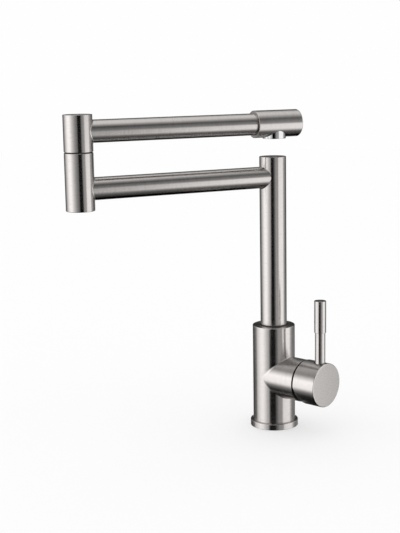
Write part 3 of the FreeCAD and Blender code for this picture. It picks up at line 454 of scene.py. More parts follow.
@dataclass(frozen=True)
class Corner:
    """A corner of the outline that a piece is turned from.

    Attributes:
        radius: its distance from the axis, one for all angles or one for each, in millimetres.
        travel: its place on the axis, one for all angles or one for each, in millimetres.
        rounding: radius of its rounded edge, in millimetres.
        finish: number of the finish on the stretch from here to the next corner.
    """

    radius: float | np.ndarray
    travel: float | np.ndarray
    rounding: float = 0.0
    finish: int = 0


def run(finish: int, *points: Point) -> list[Corner]:
    """Makes corners in a row whose stretches have one finish, each from radius, travel and rounding."""
    return [Corner(*point, finish=finish) for point in points]


def outline(corners: Sequence[Corner], closed: bool, count: int,
            steps: int = 6) -> list[tuple[np.ndarray, float, int]]:
    """Rounds the corners of an outline and sets support rings beside each edge.

    Args:
        corners: the outline's corners in order.
        closed: whether the last one joins the first.
        count: number of angles that each ring has.
        steps: number of facets in a rounding.

    Returns:
        For each ring its radius and place on the axis at every angle, its wear and painted highlight, and the
        finish from it to the next.
    """
    places = [np.array([np.broadcast_to(value, count) for value in (corner.radius, corner.travel)], float)
              for corner in corners]
    rings: list[tuple[np.ndarray, float, int]] = []
    for number, corner in enumerate(corners):
        here, before = places[number], corners[number - 1].finish
        if not closed and number in (0, len(corners) - 1):
            rings.append((here, 0.0, corner.finish))
            continue
        back, ahead = places[number - 1] - here, places[(number + 1) % len(corners)] - here
        back_length, ahead_length = (
            np.maximum(np.linalg.norm(side, axis=0), LEAST_LENGTH) for side in (back, ahead))
        back, ahead = back / back_length, ahead / ahead_length
        half = np.arccos(np.clip(np.sum(back * ahead, axis=0), -1.0, 1.0)) / 2
        cut = corner.rounding / np.tan(half)
        room = np.minimum(back_length, ahead_length) - cut
        brace = np.maximum(np.minimum(SUPPORT, SUPPORT_SHARE * room), 0.0)
        rings.append((here + back * (cut + brace), 0.0, before))
        if corner.rounding:
            inward = back + ahead
            middle = here + inward / np.linalg.norm(inward, axis=0) * (corner.rounding / np.sin(half))
            first, last = here + back * cut - middle, here + ahead * cut - middle
            for step in range(steps + 1):
                spoke = first * (1.0 - step / steps) + last * (step / steps)
                reach = corner.rounding / np.linalg.norm(spoke, axis=0)
                rings.append((middle + spoke * reach, 1.0, before if step < steps / 2 else corner.finish))
        else:
            rings.append((here, 0.5, corner.finish))
        rings.append((here + ahead * (cut + brace), 0.0, corner.finish))
    return rings


class Shape:
    """The mesh of one piece while it is being made."""

    def __init__(self, name: str, segments: int) -> None:
        """Starts an empty piece.

        Args:
            name: the piece's name.
            segments: number of facets round a full turn.
        """
        self.name = name
        self.angles = np.linspace(0.0, 2.0 * math.pi, segments, endpoint=False)
        self.mesh = bmesh.new()
        # Share of wear at each point, which the metals also use for a painted highlight on edges and welds
        self.worn_and_highlit = self.mesh.verts.layers.float.new("worn_and_highlit")

    def turned(self, line: Line, corners: Sequence[Corner], closed: bool = False) -> "Shape":
        """Turns an outline round an axis and adds the closed skin to the piece.

        Args:
            line: the axis.
            corners: the outline, from the axis back to it, or a closed one clear of the axis.
            closed: whether the outline is closed and clear of the axis.

        Returns:
            The piece.
        """
        rings, finishes = [], []
        for (radius, travel), worn_and_highlit, finish in outline(corners, closed, len(self.angles)):
            used = 1 if float(np.max(radius)) == 0.0 else len(self.angles)
            points = line.ring(radius[:used], travel[:used], self.angles[:used])
            ring = [self.mesh.verts.new(point) for point in points]
            for vertex in ring:
                vertex[self.worn_and_highlit] = worn_and_highlit
            rings.append(ring)
            finishes.append(finish)
        if closed:
            rings.append(rings[0])
        count = len(self.angles)
        for first, second, finish in zip(rings, rings[1:], finishes):
            for step in range(count):
                after = (step + 1) % count
                corners_of_face = ((first, step), (first, after), (second, after), (second, step))
                quad = dict.fromkeys(ring[place % len(ring)] for ring, place in corners_of_face)
                self.mesh.faces.new(list(quad)).material_index = finish
        return self

    def joined(self, other: bpy.types.Mesh, worn_and_highlit: float = 0.0, blended: float | None = None) -> "Shape":
        """Adds a finished mesh to the piece.

        Args:
            other: the mesh, which is used up.
            worn_and_highlit: how far it is rubbed bright, as wear and as a painted highlight.
            blended: distance from the middle, along Y, at which that wear and highlight have died away, or none.

        Returns:
            The piece.
        """
        before = len(self.mesh.verts)
        self.mesh.from_mesh(other)
        self.mesh.verts.ensure_lookup_table()
        for vertex in self.mesh.verts[before:]:
            # Wear and painted highlight fade out towards the weld's sides
            share = abs(vertex.co.y) / blended if blended else 0.0
            vertex[self.worn_and_highlit] = worn_and_highlit * math.sqrt(max(0.0, 1.0 - share ** 2))
        bpy.data.meshes.remove(other)
        return self

    def done(self) -> bpy.types.Object:
        """Turns the piece into an object with its faces outwards.

        Returns:
            The object, not yet dressed.
        """
        bmesh.ops.remove_doubles(self.mesh, verts=self.mesh.verts, dist=SAME_POINT)
        bmesh.ops.recalc_face_normals(self.mesh, faces=self.mesh.faces)
        mesh = bpy.data.meshes.new(self.name)
        self.mesh.to_mesh(mesh)
        self.mesh.free()
        smooth(mesh)
        return linked(self.name, mesh)


def smooth(mesh: bpy.types.Mesh) -> None:
    """Shades a mesh smooth but for its hard edges."""
    mesh.shade_smooth()
    mesh.set_sharp_from_angle(angle=SHARP_ANGLE)


def linked(name: str, data: bpy.types.Mesh | bpy.types.Camera) -> bpy.types.Object:
    """Puts a mesh or a camera into the scene.

    Args:
        name: the object's name.
        data: the mesh, whose place is in its points, or the camera.

    Returns:
        The object, at the origin.
    """
    thing = bpy.data.objects.new(name, data)
    bpy.context.scene.collection.objects.link(thing)
    return thing


def scrap(helper: bpy.types.Object) -> None:
    """Takes a helper object and its mesh away again.

    Args:
        helper: the object.
    """
    mesh = helper.data
    bpy.data.objects.remove(helper)
    bpy.data.meshes.remove(mesh)


def settled(piece: bpy.types.Object) -> bpy.types.Mesh:
    """Works out a piece's modifiers, takes them off and gives the plain mesh.

    Args:
        piece: the object that carries them.

    Returns:
        A mesh of its own.
    """
    bpy.context.view_layer.update()
    whole = piece.evaluated_get(bpy.context.evaluated_depsgraph_get())
    mesh = bpy.data.meshes.new_from_object(whole)
    piece.modifiers.clear()
    return mesh


def bored(piece: bpy.types.Object, holes: Sequence[Shape]) -> bpy.types.Object:
    """Cuts holes into a piece.

    Args:
        piece: the piece.
        holes: the closed shapes that are taken away.

    Returns:
        The piece.
    """
    for hole in holes:
        cutter = hole.done()
        modifier = piece.modifiers.new("bore", "BOOLEAN")
        modifier.operation, modifier.solver, modifier.object = "DIFFERENCE", "EXACT", cutter
        whole = piece.data
        piece.data = settled(piece)
        bpy.data.meshes.remove(whole)
        scrap(cutter)
    piece.data.name = piece.name
    smooth(piece.data)
    return piece


class Socket(Enum):
    """Kinds of input that a tree of Geometry Nodes takes."""

    LENGTH = "NodeSocketFloat"
    PLACE = "NodeSocketVector"
    FINISH = "NodeSocketMaterial"


class Growth(Recipe):
    """A tree of Geometry Nodes with named inputs, which makes a shape that follows a rule."""

    def __init__(self, name: str, **inputs: Socket) -> None:
        """Starts the tree.

        Args:
            name: the tree's name.
            **inputs: the kind of each named input.
        """
        tree = bpy.data.node_groups.new(name, "GeometryNodeTree")
        super().__init__(tree)
        for label, kind in inputs.items():
            tree.interface.new_socket(name=label, in_out="INPUT", socket_type=kind.value)
        tree.interface.new_socket(name="geometry", in_out="OUTPUT", socket_type="NodeSocketGeometry")
        self.given = self.add("NodeGroupInput").outputs
        self.out = self.add("NodeGroupOutput")

    def end(self, geometry: Output) -> None:
        """Ends the tree with real geometry in the finish that was given.

        Args:
            geometry: what the tree has made.
        """
        real = self.add("GeometryNodeRealizeInstances", {0: geometry}).outputs[0]
        dressed = self.add("GeometryNodeSetMaterial", {"Geometry": real, "Material": self.given["finish"]})
        self.feed(self.out, 0, dressed.outputs[0])

    def grown(self, **values: object) -> bpy.types.Mesh:
        """Runs the tree.

        Args:
            **values: each input's value.

        Returns:
            The plain mesh that it makes.
        """
        carrier = linked("carrier", bpy.data.meshes.new("carrier"))
        modifier = carrier.modifiers.new("growth", "NODES")
        modifier.node_group = self.tree
        for item in self.tree.interface.items_tree:
            if item.in_out == "INPUT":
                modifier[item.identifier] = values[item.name]
        mesh = settled(carrier)
        scrap(carrier)
        return mesh


def saddle_tree() -> Growth:
    """Makes the tree of the hollow weld between an upright tube and one that runs into its side.

    The weld is ground wider at the tube's sides than above and below it. Its section is an arc, a row
    sunk into the crease behind it, and the arc's first row again.

    Returns:
        The tree, with lengths in metres.
    """
    arc_steps, flank_sharpness, sink = 10, 12.0, 2.1
    rows = arc_steps + 2
    tree = Growth("saddle_weld", post_radius=Socket.LENGTH, tube_radius=Socket.LENGTH,
                  weld_radius=Socket.LENGTH, side_radius=Socket.LENGTH, heading=Socket.PLACE,
                  place=Socket.PLACE, finish=Socket.FINISH)
    post, tube, above, beside = list(tree.given)[:4]
    grid = tree.add("GeometryNodeMeshGrid", {
        "Size X": 1.0, "Size Y": 1.0, "Vertices X": WIDE_FACETS + 1, "Vertices Y": rows + 1})
    x, y, _ = tree.parts(tree.add("GeometryNodeInputPosition").outputs[0])
    turn = tree.math("MULTIPLY_ADD", x, 2 * math.pi, math.pi)
    row = tree.math("ADD", y, 0.5)
    sine = tree.math("SINE", turn)
    flank = tree.math("POWER", tree.math("ABSOLUTE", sine), flank_sharpness)
    weld = tree.math("MULTIPLY_ADD", flank, tree.math("SUBTRACT", beside, above), above)
    wide = tree.math("ADD", tube, weld)
    across = tree.times(wide, sine)
    up = tree.times(wide, tree.math("COSINE", turn))
    far = tree.math("ADD", post, weld)
    out = tree.math("SUBTRACT", tree.times(far, far), tree.times(across, across))
    out = tree.math("SQRT", out)
    back = tree.times(weld, -1.0)
    post_share = tree.math("DIVIDE", back, far)
    tube_share = tree.math("DIVIDE", back, wide)
    to_post = tree.point(tree.times(out, post_share), tree.times(across, post_share), 0.0)
    to_tube = tree.point(0.0, tree.times(across, tube_share), tree.times(up, tube_share))
    open_rows = tree.math("LESS_THAN", row, (rows - 0.5) / rows)
    share = tree.math("MINIMUM", tree.math("DIVIDE", row, arc_steps / rows), 1.0)
    share = tree.times(open_rows, share)
    spoke = tree.vector("ADD", tree.vector("MULTIPLY", to_tube, share),
                        tree.vector("MULTIPLY", to_post, tree.math("SUBTRACT", 1.0, share)))
    on_arc = tree.vector("MULTIPLY", tree.vector("NORMALIZE", spoke), weld)
    both = tree.vector("ADD", to_post, to_tube)
    size = tree.vector("LENGTH", both)
    inward = tree.math("DIVIDE", tree.times(sink, tree.times(weld, weld)), tree.times(size, size))
    crease = tree.vector("MULTIPLY", both, inward)
    sunk = tree.times(open_rows, tree.math("GREATER_THAN", row, (arc_steps + 0.5) / rows))
    offset = tree.vector("ADD", tree.vector("MULTIPLY", crease, sunk),
                         tree.vector("MULTIPLY", on_arc, tree.math("SUBTRACT", 1.0, sunk)))
    spot = tree.vector("ADD", tree.point(out, across, up), offset)
    shaped = tree.add("GeometryNodeSetPosition", {"Geometry": grid.outputs["Mesh"], "Position": spot})
    sewn = tree.add("GeometryNodeMergeByDistance", {
        "Geometry": shaped.outputs[0], "Distance": SEWING_GAP})
    moved = tree.add("GeometryNodeTransform", {
        "Geometry": sewn.outputs[0], "Rotation": tree.given["heading"], "Translation": tree.given["place"]})
    tree.end(moved.outputs[0])
    return tree


def cells_tree() -> Growth:
    """Makes the tree of the aerator's core, a round plate with rings of water cells through it.

    Returns:
        The tree, with lengths in metres.
    """
    ring_count, cells_in_first_ring, overrun_share = 3, 6, 1.5
    tree = Growth("water_cells", plate_radius=Socket.LENGTH, plate_height=Socket.LENGTH,
                  cell_radius=Socket.LENGTH, cell_pitch=Socket.LENGTH, place=Socket.PLACE,
                  finish=Socket.FINISH)
    given = tree.given
    middle = tree.add("GeometryNodeMeshCircle", {"Vertices": 3, "Radius": 0.0}).outputs[0]
    middle = tree.add("GeometryNodeMergeByDistance", {
        "Geometry": middle, "Distance": SEWING_GAP}).outputs[0]
    rings = [middle]
    for number in range(1, ring_count + 1):
        feeds = {"Vertices": cells_in_first_ring * number,
                 "Radius": tree.times(given["cell_pitch"], float(number))}
        rings.append(tree.add("GeometryNodeMeshCircle", feeds).outputs[0])
    points = tree.add("GeometryNodeJoinGeometry")
    for ring in reversed(rings):
        tree.feed(points, 0, ring)
    depth = tree.times(given["plate_height"], overrun_share)
    drill = tree.add("GeometryNodeMeshCylinder", {
        "Vertices": DRILL_FACETS, "Radius": given["cell_radius"], "Depth": depth})
    drills = tree.add("GeometryNodeInstanceOnPoints", {
        "Points": points.outputs[0], "Instance": drill.outputs[0]}).outputs[0]
    drills = tree.add("GeometryNodeRealizeInstances", {0: drills}).outputs[0]
    plate = tree.add("GeometryNodeMeshCylinder", {
        "Vertices": SLIM_FACETS, "Radius": given["plate_radius"], "Depth": given["plate_height"]})
    drilled = tree.add("GeometryNodeMeshBoolean", {"Mesh 1": plate.outputs[0]},
                       operation="DIFFERENCE", solver="EXACT")
    tree.feed(drilled, "Mesh 2", drills)
    moved = tree.add("GeometryNodeTransform", {
        "Geometry": drilled.outputs[0], "Translation": given["place"]})
    tree.end(moved.outputs[0])
    return tree


# Light and camera


@dataclass(frozen=True)
class Card:
    """A flat panel that stands round the faucet and is seen only in the metal's reflections.

    Attributes:
        name: the panel's name.
        bearing: direction in which it stands, in degrees from the camera's side.
        distance: how far its middle is from the riser, in metres.
        width: its width, in metres.
        low: height of its lower edge, in metres.
        high: height of its upper edge, in metres.
        level: its brightness, 1 for white.
        fades: width of its soft rim at its sides, its foot and its top, in metres.
    """

    name: str
    bearing: float
    distance: float
    width: float
    low: float
    high: float
    level: float
    fades: tuple[float, float, float]

    def build(self, facing: float) -> None:
        """Stands the panel in the studio.

        Args:
            facing: world angle of the camera as seen from the faucet, in degrees.
        """
        angle = math.radians(self.bearing + facing)
        out = Vector((math.cos(angle), math.sin(angle), 0.0))
        along = Vector((-out.y, out.x, 0.0)) * self.width / 2
        corners = ((1, self.low), (-1, self.low), (-1, self.high), (1, self.high))
        mesh = bpy.data.meshes.new(self.name)
        mesh.from_pydata([out * self.distance + along * side + Z_AXIS * height for side, height in corners],
                         [], [(0, 1, 2, 3)])
        places = mesh.uv_layers.new(name="UVMap")
        for loop, uv in zip(places.data, ((0.0, 0.0), (1.0, 0.0), (1.0, 1.0), (0.0, 1.0))):
            loop.uv = uv
        material, sheet = blank(self.name)
        across, upward, _ = sheet.parts(sheet.place("UV"))
        beside = sheet.math("MINIMUM", across, sheet.math("SUBTRACT", 1.0, across))
        above = sheet.math("SUBTRACT", 1.0, upward)
        tall = self.high - self.low
        side, foot, top = self.fades
        solid = 1.0
        for share, fade in ((beside, side / self.width), (upward, foot / tall), (above, top / tall)):
            edge = sheet.add("ShaderNodeMapRange", {"Value": share, "From Min": 0.0, "From Max": fade},
                             interpolation_type="SMOOTHSTEP").outputs["Result"]
            solid = sheet.times(solid, edge)
        glow = sheet.add("ShaderNodeEmission", {"Color": grey(self.level), "Strength": 1.0})
        clear = sheet.add("ShaderNodeBsdfTransparent")
        sheet.show(sheet.add("ShaderNodeMixShader", {0: solid, 1: clear.outputs[0], 2: glow.outputs[0]}))
        mesh.materials.append(material)
        panel = linked(self.name, mesh)
        panel.visible_camera = panel.visible_diffuse = panel.visible_shadow = False
        panel.visible_transmission = panel.visible_volume_scatter = False


@dataclass(frozen=True)
class Row:
    """How bright the studio is all round at one height, as polished metal mirrors it.

    Attributes:
        rise: the height, in degrees above the horizon.
        levels: bearings in degrees from the camera's side, and the level at each.
    """

    rise: float
    levels: tuple[Pair, ...]


@dataclass
class Studio:
    """A white studio with soft light to the left and right, and panels round the faucet.

    Attributes:
        facing: world angle of the camera as seen from the faucet, in degrees.
        backdrop: level of the white background.
        fill: level of the soft light all round.
        brightest: the level that the rows' ramps reach at most.
        floor_radius: size of the pale floor, in metres.
        floor_drop: how far it lies below the deck, in metres.
        floor_tones: its two tones.
        floor_patches: number of patches of each to one metre.
        shadow_lift: how far the shadow on the floor is lightened.
        camera_place: where the camera stands, in metres.
        camera_aim: the direction that it looks in.
        camera_side: direction of the picture's rows, in degrees seen from above.
        camera_roll: how far it is rolled, in degrees.
        focal_length: its lens, in millimetres.
        sensor: width of its sensor, in millimetres.
        sight: nearest and farthest distance that it sees, in metres.
        rows: the light all round, from the floor up.
        cards: the panels that stand near the faucet.
    """

    facing: float = -50.54
    backdrop: float = 0.991
    fill: float = 1.0
    brightest: float = 2.0
    floor_radius: float = 4.0
    floor_drop: float = 0.0002
    floor_tones: tuple[Triple, Triple] = ((0.986, 0.986, 0.985), (0.992, 0.992, 0.992))
    floor_patches: float = 3.0
    shadow_lift: float = 0.5
    camera_place: Triple = (0.76270, -0.92649, 0.38513)
    camera_aim: Triple = (-0.67374, 0.71826, -0.17374)
    camera_side: float = 43.168
    camera_roll: float = -1.012
    focal_length: float = 77.65
    sensor: float = 36.0
    sight: Pair = (0.05, 50.0)
    rows: tuple[Row, ...] = (
        Row(-62.0, ((-180, 0.0), (30, 0.0), (60, 0.1), (100, 0.1), (130, 0.04), (150, 0.0))),
        Row(-48.0, ((-180, 0.0), (-100, 0.03), (10, 0.03), (50, 0.24), (85, 0.27), (105, 0.2),
                    (130, 0.04), (150, 0.0))),
        Row(-32.0, ((-180, 0.0), (-166, 0.1), (-150, 0.0), (-136, 0.0), (-100, 0.2), (-80, 0.36),
                    (-57, 0.42), (-38, 0.28), (-20, 0.12), (10, 0.06), (50, 0.35), (90, 0.4),
                    (115, 0.18), (140, 0.0), (180, 0.0))),
        Row(-18.0, ((-180, 0.55), (-164, 0.75), (-154, 0.04), (-138, 0.04), (-128, 0.13), (-112, 0.43),
                    (-88, 1.19), (-70, 1.53), (-57, 1.42), (-38, 0.76), (-20, 0.35), (-4, 0.17),
                    (22, 0.1), (40, 0.25), (58, 0.6), (72, 0.67), (95, 0.6), (120, 0.24), (140, 0.02),
                    (154, 0.04), (164, 0.75), (180, 0.55))),
        Row(12.0, ((-180, 0.0), (-150, 0.05), (-130, 0.34), (-101, 1.12), (-80, 1.6), (-60, 1.58),
                   (-38, 1.02), (-14, 0.5), (10, 0.16), (34, 0.1), (46, 0.13), (72, 0.5), (95, 0.66),
                   (120, 0.5), (145, 0.1), (180, 0.0))),
        Row(38.0, ((-180, 0.16), (-120, 0.26), (-90, 0.33), (-45, 0.12), (0, 0.0), (45, 0.0),
                   (90, 0.22), (135, 0.3), (180, 0.16))),
        Row(56.0, ((-180, 0.9), (-135, 0.6), (-90, 0.6), (-45, 0.45), (0, 0.3), (45, 0.3), (90, 0.55),
                   (135, 0.85), (180, 0.9))),
        Row(75.0, ((-180, 0.95), (180, 0.95))),
    )
    cards: tuple[Card, ...] = (
        Card("studio_dark_card", -4.0, 0.50, 0.26, -0.35, 0.75, 0.0, (0.036, 0.1, 0.1)),
        Card("studio_low_dark_card", -17.0, 0.53, 0.21, -0.45, 0.12, 0.0, (0.08, 0.1, 0.12)),
        Card("studio_grey_card", 31.0, 0.62, 0.42, -0.55, 0.42, 0.46, (0.16, 0.62, 0.2)),
        Card("studio_right_softbox", 72.0, 0.70, 0.94, -0.6, 0.44, 1.28, (0.25, 0.52, 0.2)),
        Card("studio_low_left_card", -118.0, 0.50, 0.28, -0.3, 0.05, 0.15, (0.1, 0.1, 0.07)),
        Card("studio_low_right_card", 137.0, 0.50, 0.12, -0.3, 0.05, 0.36, (0.03, 0.1, 0.07)),
    )

    def light(self) -> None:
        """Builds the world: a white background, and what polished metal sees round it."""
        world = bpy.data.worlds.new("studio_light")
        bpy.context.scene.world = world
        world.use_nodes = True
        sheet = Recipe(world.node_tree)
        turned = sheet.add("ShaderNodeVectorRotate", {
            "Vector": sheet.place("Generated"), "Angle": math.radians(-self.facing)},
            rotation_type="Z_AXIS").outputs[0]
        x, y, z = sheet.parts(turned)
        bearing = sheet.spread(sheet.math("ARCTAN2", y, x), -math.pi, math.pi, 0.0, 1.0)
        rise = sheet.times(sheet.math("ARCSINE", z), 180.0 / math.pi)
        seen, under = grey(0.0), -90.0
        for row in self.rows:
            stops = [((angle + 180.0) / 360.0, level / self.brightest) for angle, level in row.levels]
            share = sheet.spread(rise, under, row.rise, 0.0, 1.0)
            seen = sheet.mix(share, seen, sheet.ramp(bearing, stops))
            under = row.rise
        seen = sheet.add("ShaderNodeVectorMath", {"Vector": seen, "Scale": self.brightest},
                         operation="SCALE").outputs["Vector"]
        path = sheet.add("ShaderNodeLightPath").outputs
        mirrored = sheet.math("MAXIMUM", path["Is Glossy Ray"], path["Is Transmission Ray"])
        shown = sheet.mix(mirrored, grey(self.fill), seen)
        shown = sheet.mix(path["Is Camera Ray"], shown, grey(self.backdrop))
        background = sheet.add("ShaderNodeBackground", {"Color": shown, "Strength": 1.0})
        sheet.show(background, "ShaderNodeOutputWorld")
        for card in self.cards:
            card.build(self.facing)

    def floor(self) -> None:
        """Lays the pale floor that the faucet stands on."""
        turns = np.linspace(0.0, 2.0 * math.pi, SLIM_FACETS, endpoint=False)
        rim = [(self.floor_radius * math.cos(turn), self.floor_radius * math.sin(turn), -self.floor_drop)
               for turn in turns]
        mesh = bpy.data.meshes.new("studio_floor")
        mesh.from_pydata(rim, [], [tuple(range(SLIM_FACETS))])
        floor = linked("studio_floor", mesh)
        material, sheet = blank("pale_floor")
        patch = sheet.noise(sheet.place(), detail=2.0, scale=self.floor_patches)
        tone = sheet.mix(patch, *self.floor_tones)
        diffuse = sheet.add("ShaderNodeBsdfDiffuse", {"Color": tone, "Roughness": 0.0})
        white = sheet.add("ShaderNodeEmission", {"Color": grey(self.backdrop), "Strength": 1.0})
        path = sheet.add("ShaderNodeLightPath").outputs
        seen = sheet.math("MAXIMUM", path["Is Camera Ray"], path["Is Transmission Ray"])
        lifted = sheet.times(seen, self.shadow_lift)
        sheet.show(sheet.add("ShaderNodeMixShader", {0: lifted, 1: diffuse.outputs[0], 2: white.outputs[0]}))
        mesh.materials.append(material)
        floor.visible_glossy = False

    def camera(self) -> None:
        """Sets the camera where the photograph was taken from."""
        forward = Vector(self.camera_aim).normalized()
        angle, roll = math.radians(self.camera_side), math.radians(self.camera_roll)
        side = Vector((math.cos(angle), math.sin(angle), 0.0))
        up = side.cross(forward)
        right = side * math.cos(roll) + up * math.sin(roll)
        top = up * math.cos(roll) - side * math.sin(roll)
        lens = bpy.data.cameras.new("photograph")
        lens.sensor_width, lens.lens = self.sensor, self.focal_length
        lens.clip_start, lens.clip_end = self.sight
        camera = linked("photograph", lens)
        turn = Matrix((right, top, -forward)).transposed().to_4x4()
        camera.matrix_world = Matrix.Translation(Vector(self.camera_place)) @ turn
        bpy.context.scene.camera = camera


# The faucet


STEEL = Metal("brushed_steel", slot="brushed_steel", colour=(0.661, 0.63, 0.612), roughness=0.22,
              anisotropy=0.88)
FLAT_STEEL = replace(STEEL, name="flat_brushed_steel", grain=Grain.STRAIGHT, roughness=0.27,
                     anisotropy=0.7, depth=0.0000002, streak=0.02, along=(1.0, 0.0, 0.0))
BORED_STEEL = Metal("bored_steel", slot="brushed_steel", colour=(0.30, 0.29, 0.28), roughness=0.42, wear_and_highlight=0.0)
# Near-black steel for the end faces and insides of the gaps between pieces: painted shade in the seams, darker
# than the steel itself
SEAM_SHADE_STEEL = replace(BORED_STEEL, name="painted_seam_shade_steel", colour=grey(0.07), roughness=0.5)
CHROME = Metal("chrome", slot="chrome", colour=(0.72, 0.72, 0.73), roughness=0.08, grain=Grain.NONE)
BRASS = Metal("turned_brass", slot="brass", colour=(0.72, 0.56, 0.28), roughness=0.3)
COPPER = Metal("drawn_copper", slot="copper", colour=(0.76, 0.42, 0.27), roughness=0.3)
PLAIN_STEEL = Metal("machined_steel", slot="plain_steel", colour=(0.52, 0.52, 0.53), roughness=0.35)
RUBBER = Moulded("black_rubber", slot="black_rubber", colour=grey(0.03), roughness=0.7)
BLACK_ACETAL = Moulded("black_acetal", slot="black_plastic", colour=grey(0.02), roughness=0.4)
WHITE_ACETAL = Moulded("white_acetal", slot="white_plastic", colour=(0.80, 0.80, 0.78), roughness=0.4)
CERAMIC = Moulded("lapped_ceramic", slot="ceramic", colour=(0.88, 0.87, 0.84), roughness=0.15)


# Pieces inside the faucet and in its seams, which keep their CAD meshes
INNER_PIECES = (
    (BRASS, "inlet_block valve_block swivel_socket cartridge_nut riser_spigot elbow_spindle elbow_bush"),
    (COPPER, "hot_supply_tube cold_supply_tube"),
    (PLAIN_STEEL, "lever_stem stem_pin grub_screw spigot_snap_ring elbow_snap_ring aerator_screen"),
    (RUBBER, "base_gasket port_seals upper_spigot_seal lower_spigot_seal lower_elbow_seal "
             "upper_elbow_seal aerator_washer"),
    (BLACK_ACETAL, "riser_glide_ring elbow_glide_ring"),
    (WHITE_ACETAL, "cartridge_housing cartridge_base cartridge_rotor disc_carrier"),
    (CERAMIC, "fixed_ceramic_disc moving_ceramic_disc"),
)


def joint_place(name: str) -> Vector:
    """The point in metres that a joint turns about, at rest."""
    return Vector(next(j["pos_m"] for j in frame["joints"] if j["name"] == name))


def mount_place(name: str) -> Vector:
    """The point in metres of one of the record's mounts."""
    return Vector(next(m["pos_m"] for m in frame["record"]["mounts"] if m["name"] == name))


def height_of(node: str) -> Pair:
    """Lowest and highest point of a CAD node, in millimetres."""
    low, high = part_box(node)
    return low.z / MM, high.z / MM


def radius_of(node: str, across: int = 0) -> float:
    """Half a CAD node's size in millimetres, across X as 0 or Y as 1."""
    low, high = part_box(node)
    return ((high - low) / MM)[across] / 2


def made(finish: Finish) -> bpy.types.Material:
    """The material of a finish, made at its first use."""
    return bpy.data.materials.get(finish.name) or finish.build()


def on(finish: Metal, name: str, line: Line) -> Metal:
    """The same metal with its lines round a tube's own axis."""
    return replace(finish, name=f"{finish.name}_{name}", along=tuple(line.along),
                   through=tuple(line.start * MM))


def dress(nodes: Sequence[str], finish: Finish) -> None:
    """Gives CAD nodes a finish.

    Args:
        nodes: the nodes' names.
        finish: the finish that all of them get.
    """
    for name in nodes:
        piece = frame["nodes"][name]
        piece.data.materials.clear()
        piece.data.materials.append(made(finish))
        LOG.info("%s: %s", name, finish.name)


def fitted(shape: Shape, finishes: Finish | tuple[Finish, ...], body: str, *nodes: str,
           holes: Sequence[Shape] = ()) -> None:
    """Ends a piece, bores it, dresses it, sets it on its body and lets it stand for CAD nodes.

    Args:
        shape: the piece.
        finishes: its finish, or one for each number that its faces carry.
        body: the body that it rides on.
        *nodes: the nodes that it stands for.
        holes: the closed shapes that are cut out of it.
    """
    piece = bored(shape.done(), holes)
    finishes = finishes if isinstance(finishes, tuple) else (finishes,)
    numbers = [min(face.material_index, len(finishes) - 1) for face in piece.data.polygons]
    piece.data.materials.clear()
    for finish in finishes:
        piece.data.materials.append(made(finish))
    piece.data.polygons.foreach_set("material_index", numbers)
    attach(piece, body)
    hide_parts(*nodes)
    LOG.info("%s on %s: %s, %d faces", piece.name, body, finishes[0].name, len(piece.data.polygons))


def cope(post: float, tube: float, angles: np.ndarray) -> np.ndarray:
    """Distances from a post's axis to its skin along a tube into its side, at angles round the tube."""
    return np.sqrt(np.maximum(post ** 2 - (tube * np.sin(angles)) ** 2, 0.0))


def lidded(name: str, line: Line, radius: float, wall: float, lid: float, ends: Pair,
           rounding: float) -> Shape:
    """Turns a tube with a lid welded in one end.

    Args:
        name: the piece's name.
        line: the tube's axis.
        radius: the tube's radius.
        wall: its wall.
        lid: the lid's thickness.
        ends: places of its closed end and its open end on the axis.
        rounding: radius of its outer edges.

    Returns:
        The piece, with number 1 on its inner faces.
    """
    closed, opened = ends
    inside = closed + math.copysign(lid, opened - closed)
    return Shape(name, TUBE_FACETS).turned(line, [
        *run(0, (0.0, closed), (radius, closed, rounding)),
        *run(1, (radius, opened, rounding), (radius - wall, opened), (radius - wall, inside), (0.0, inside))])


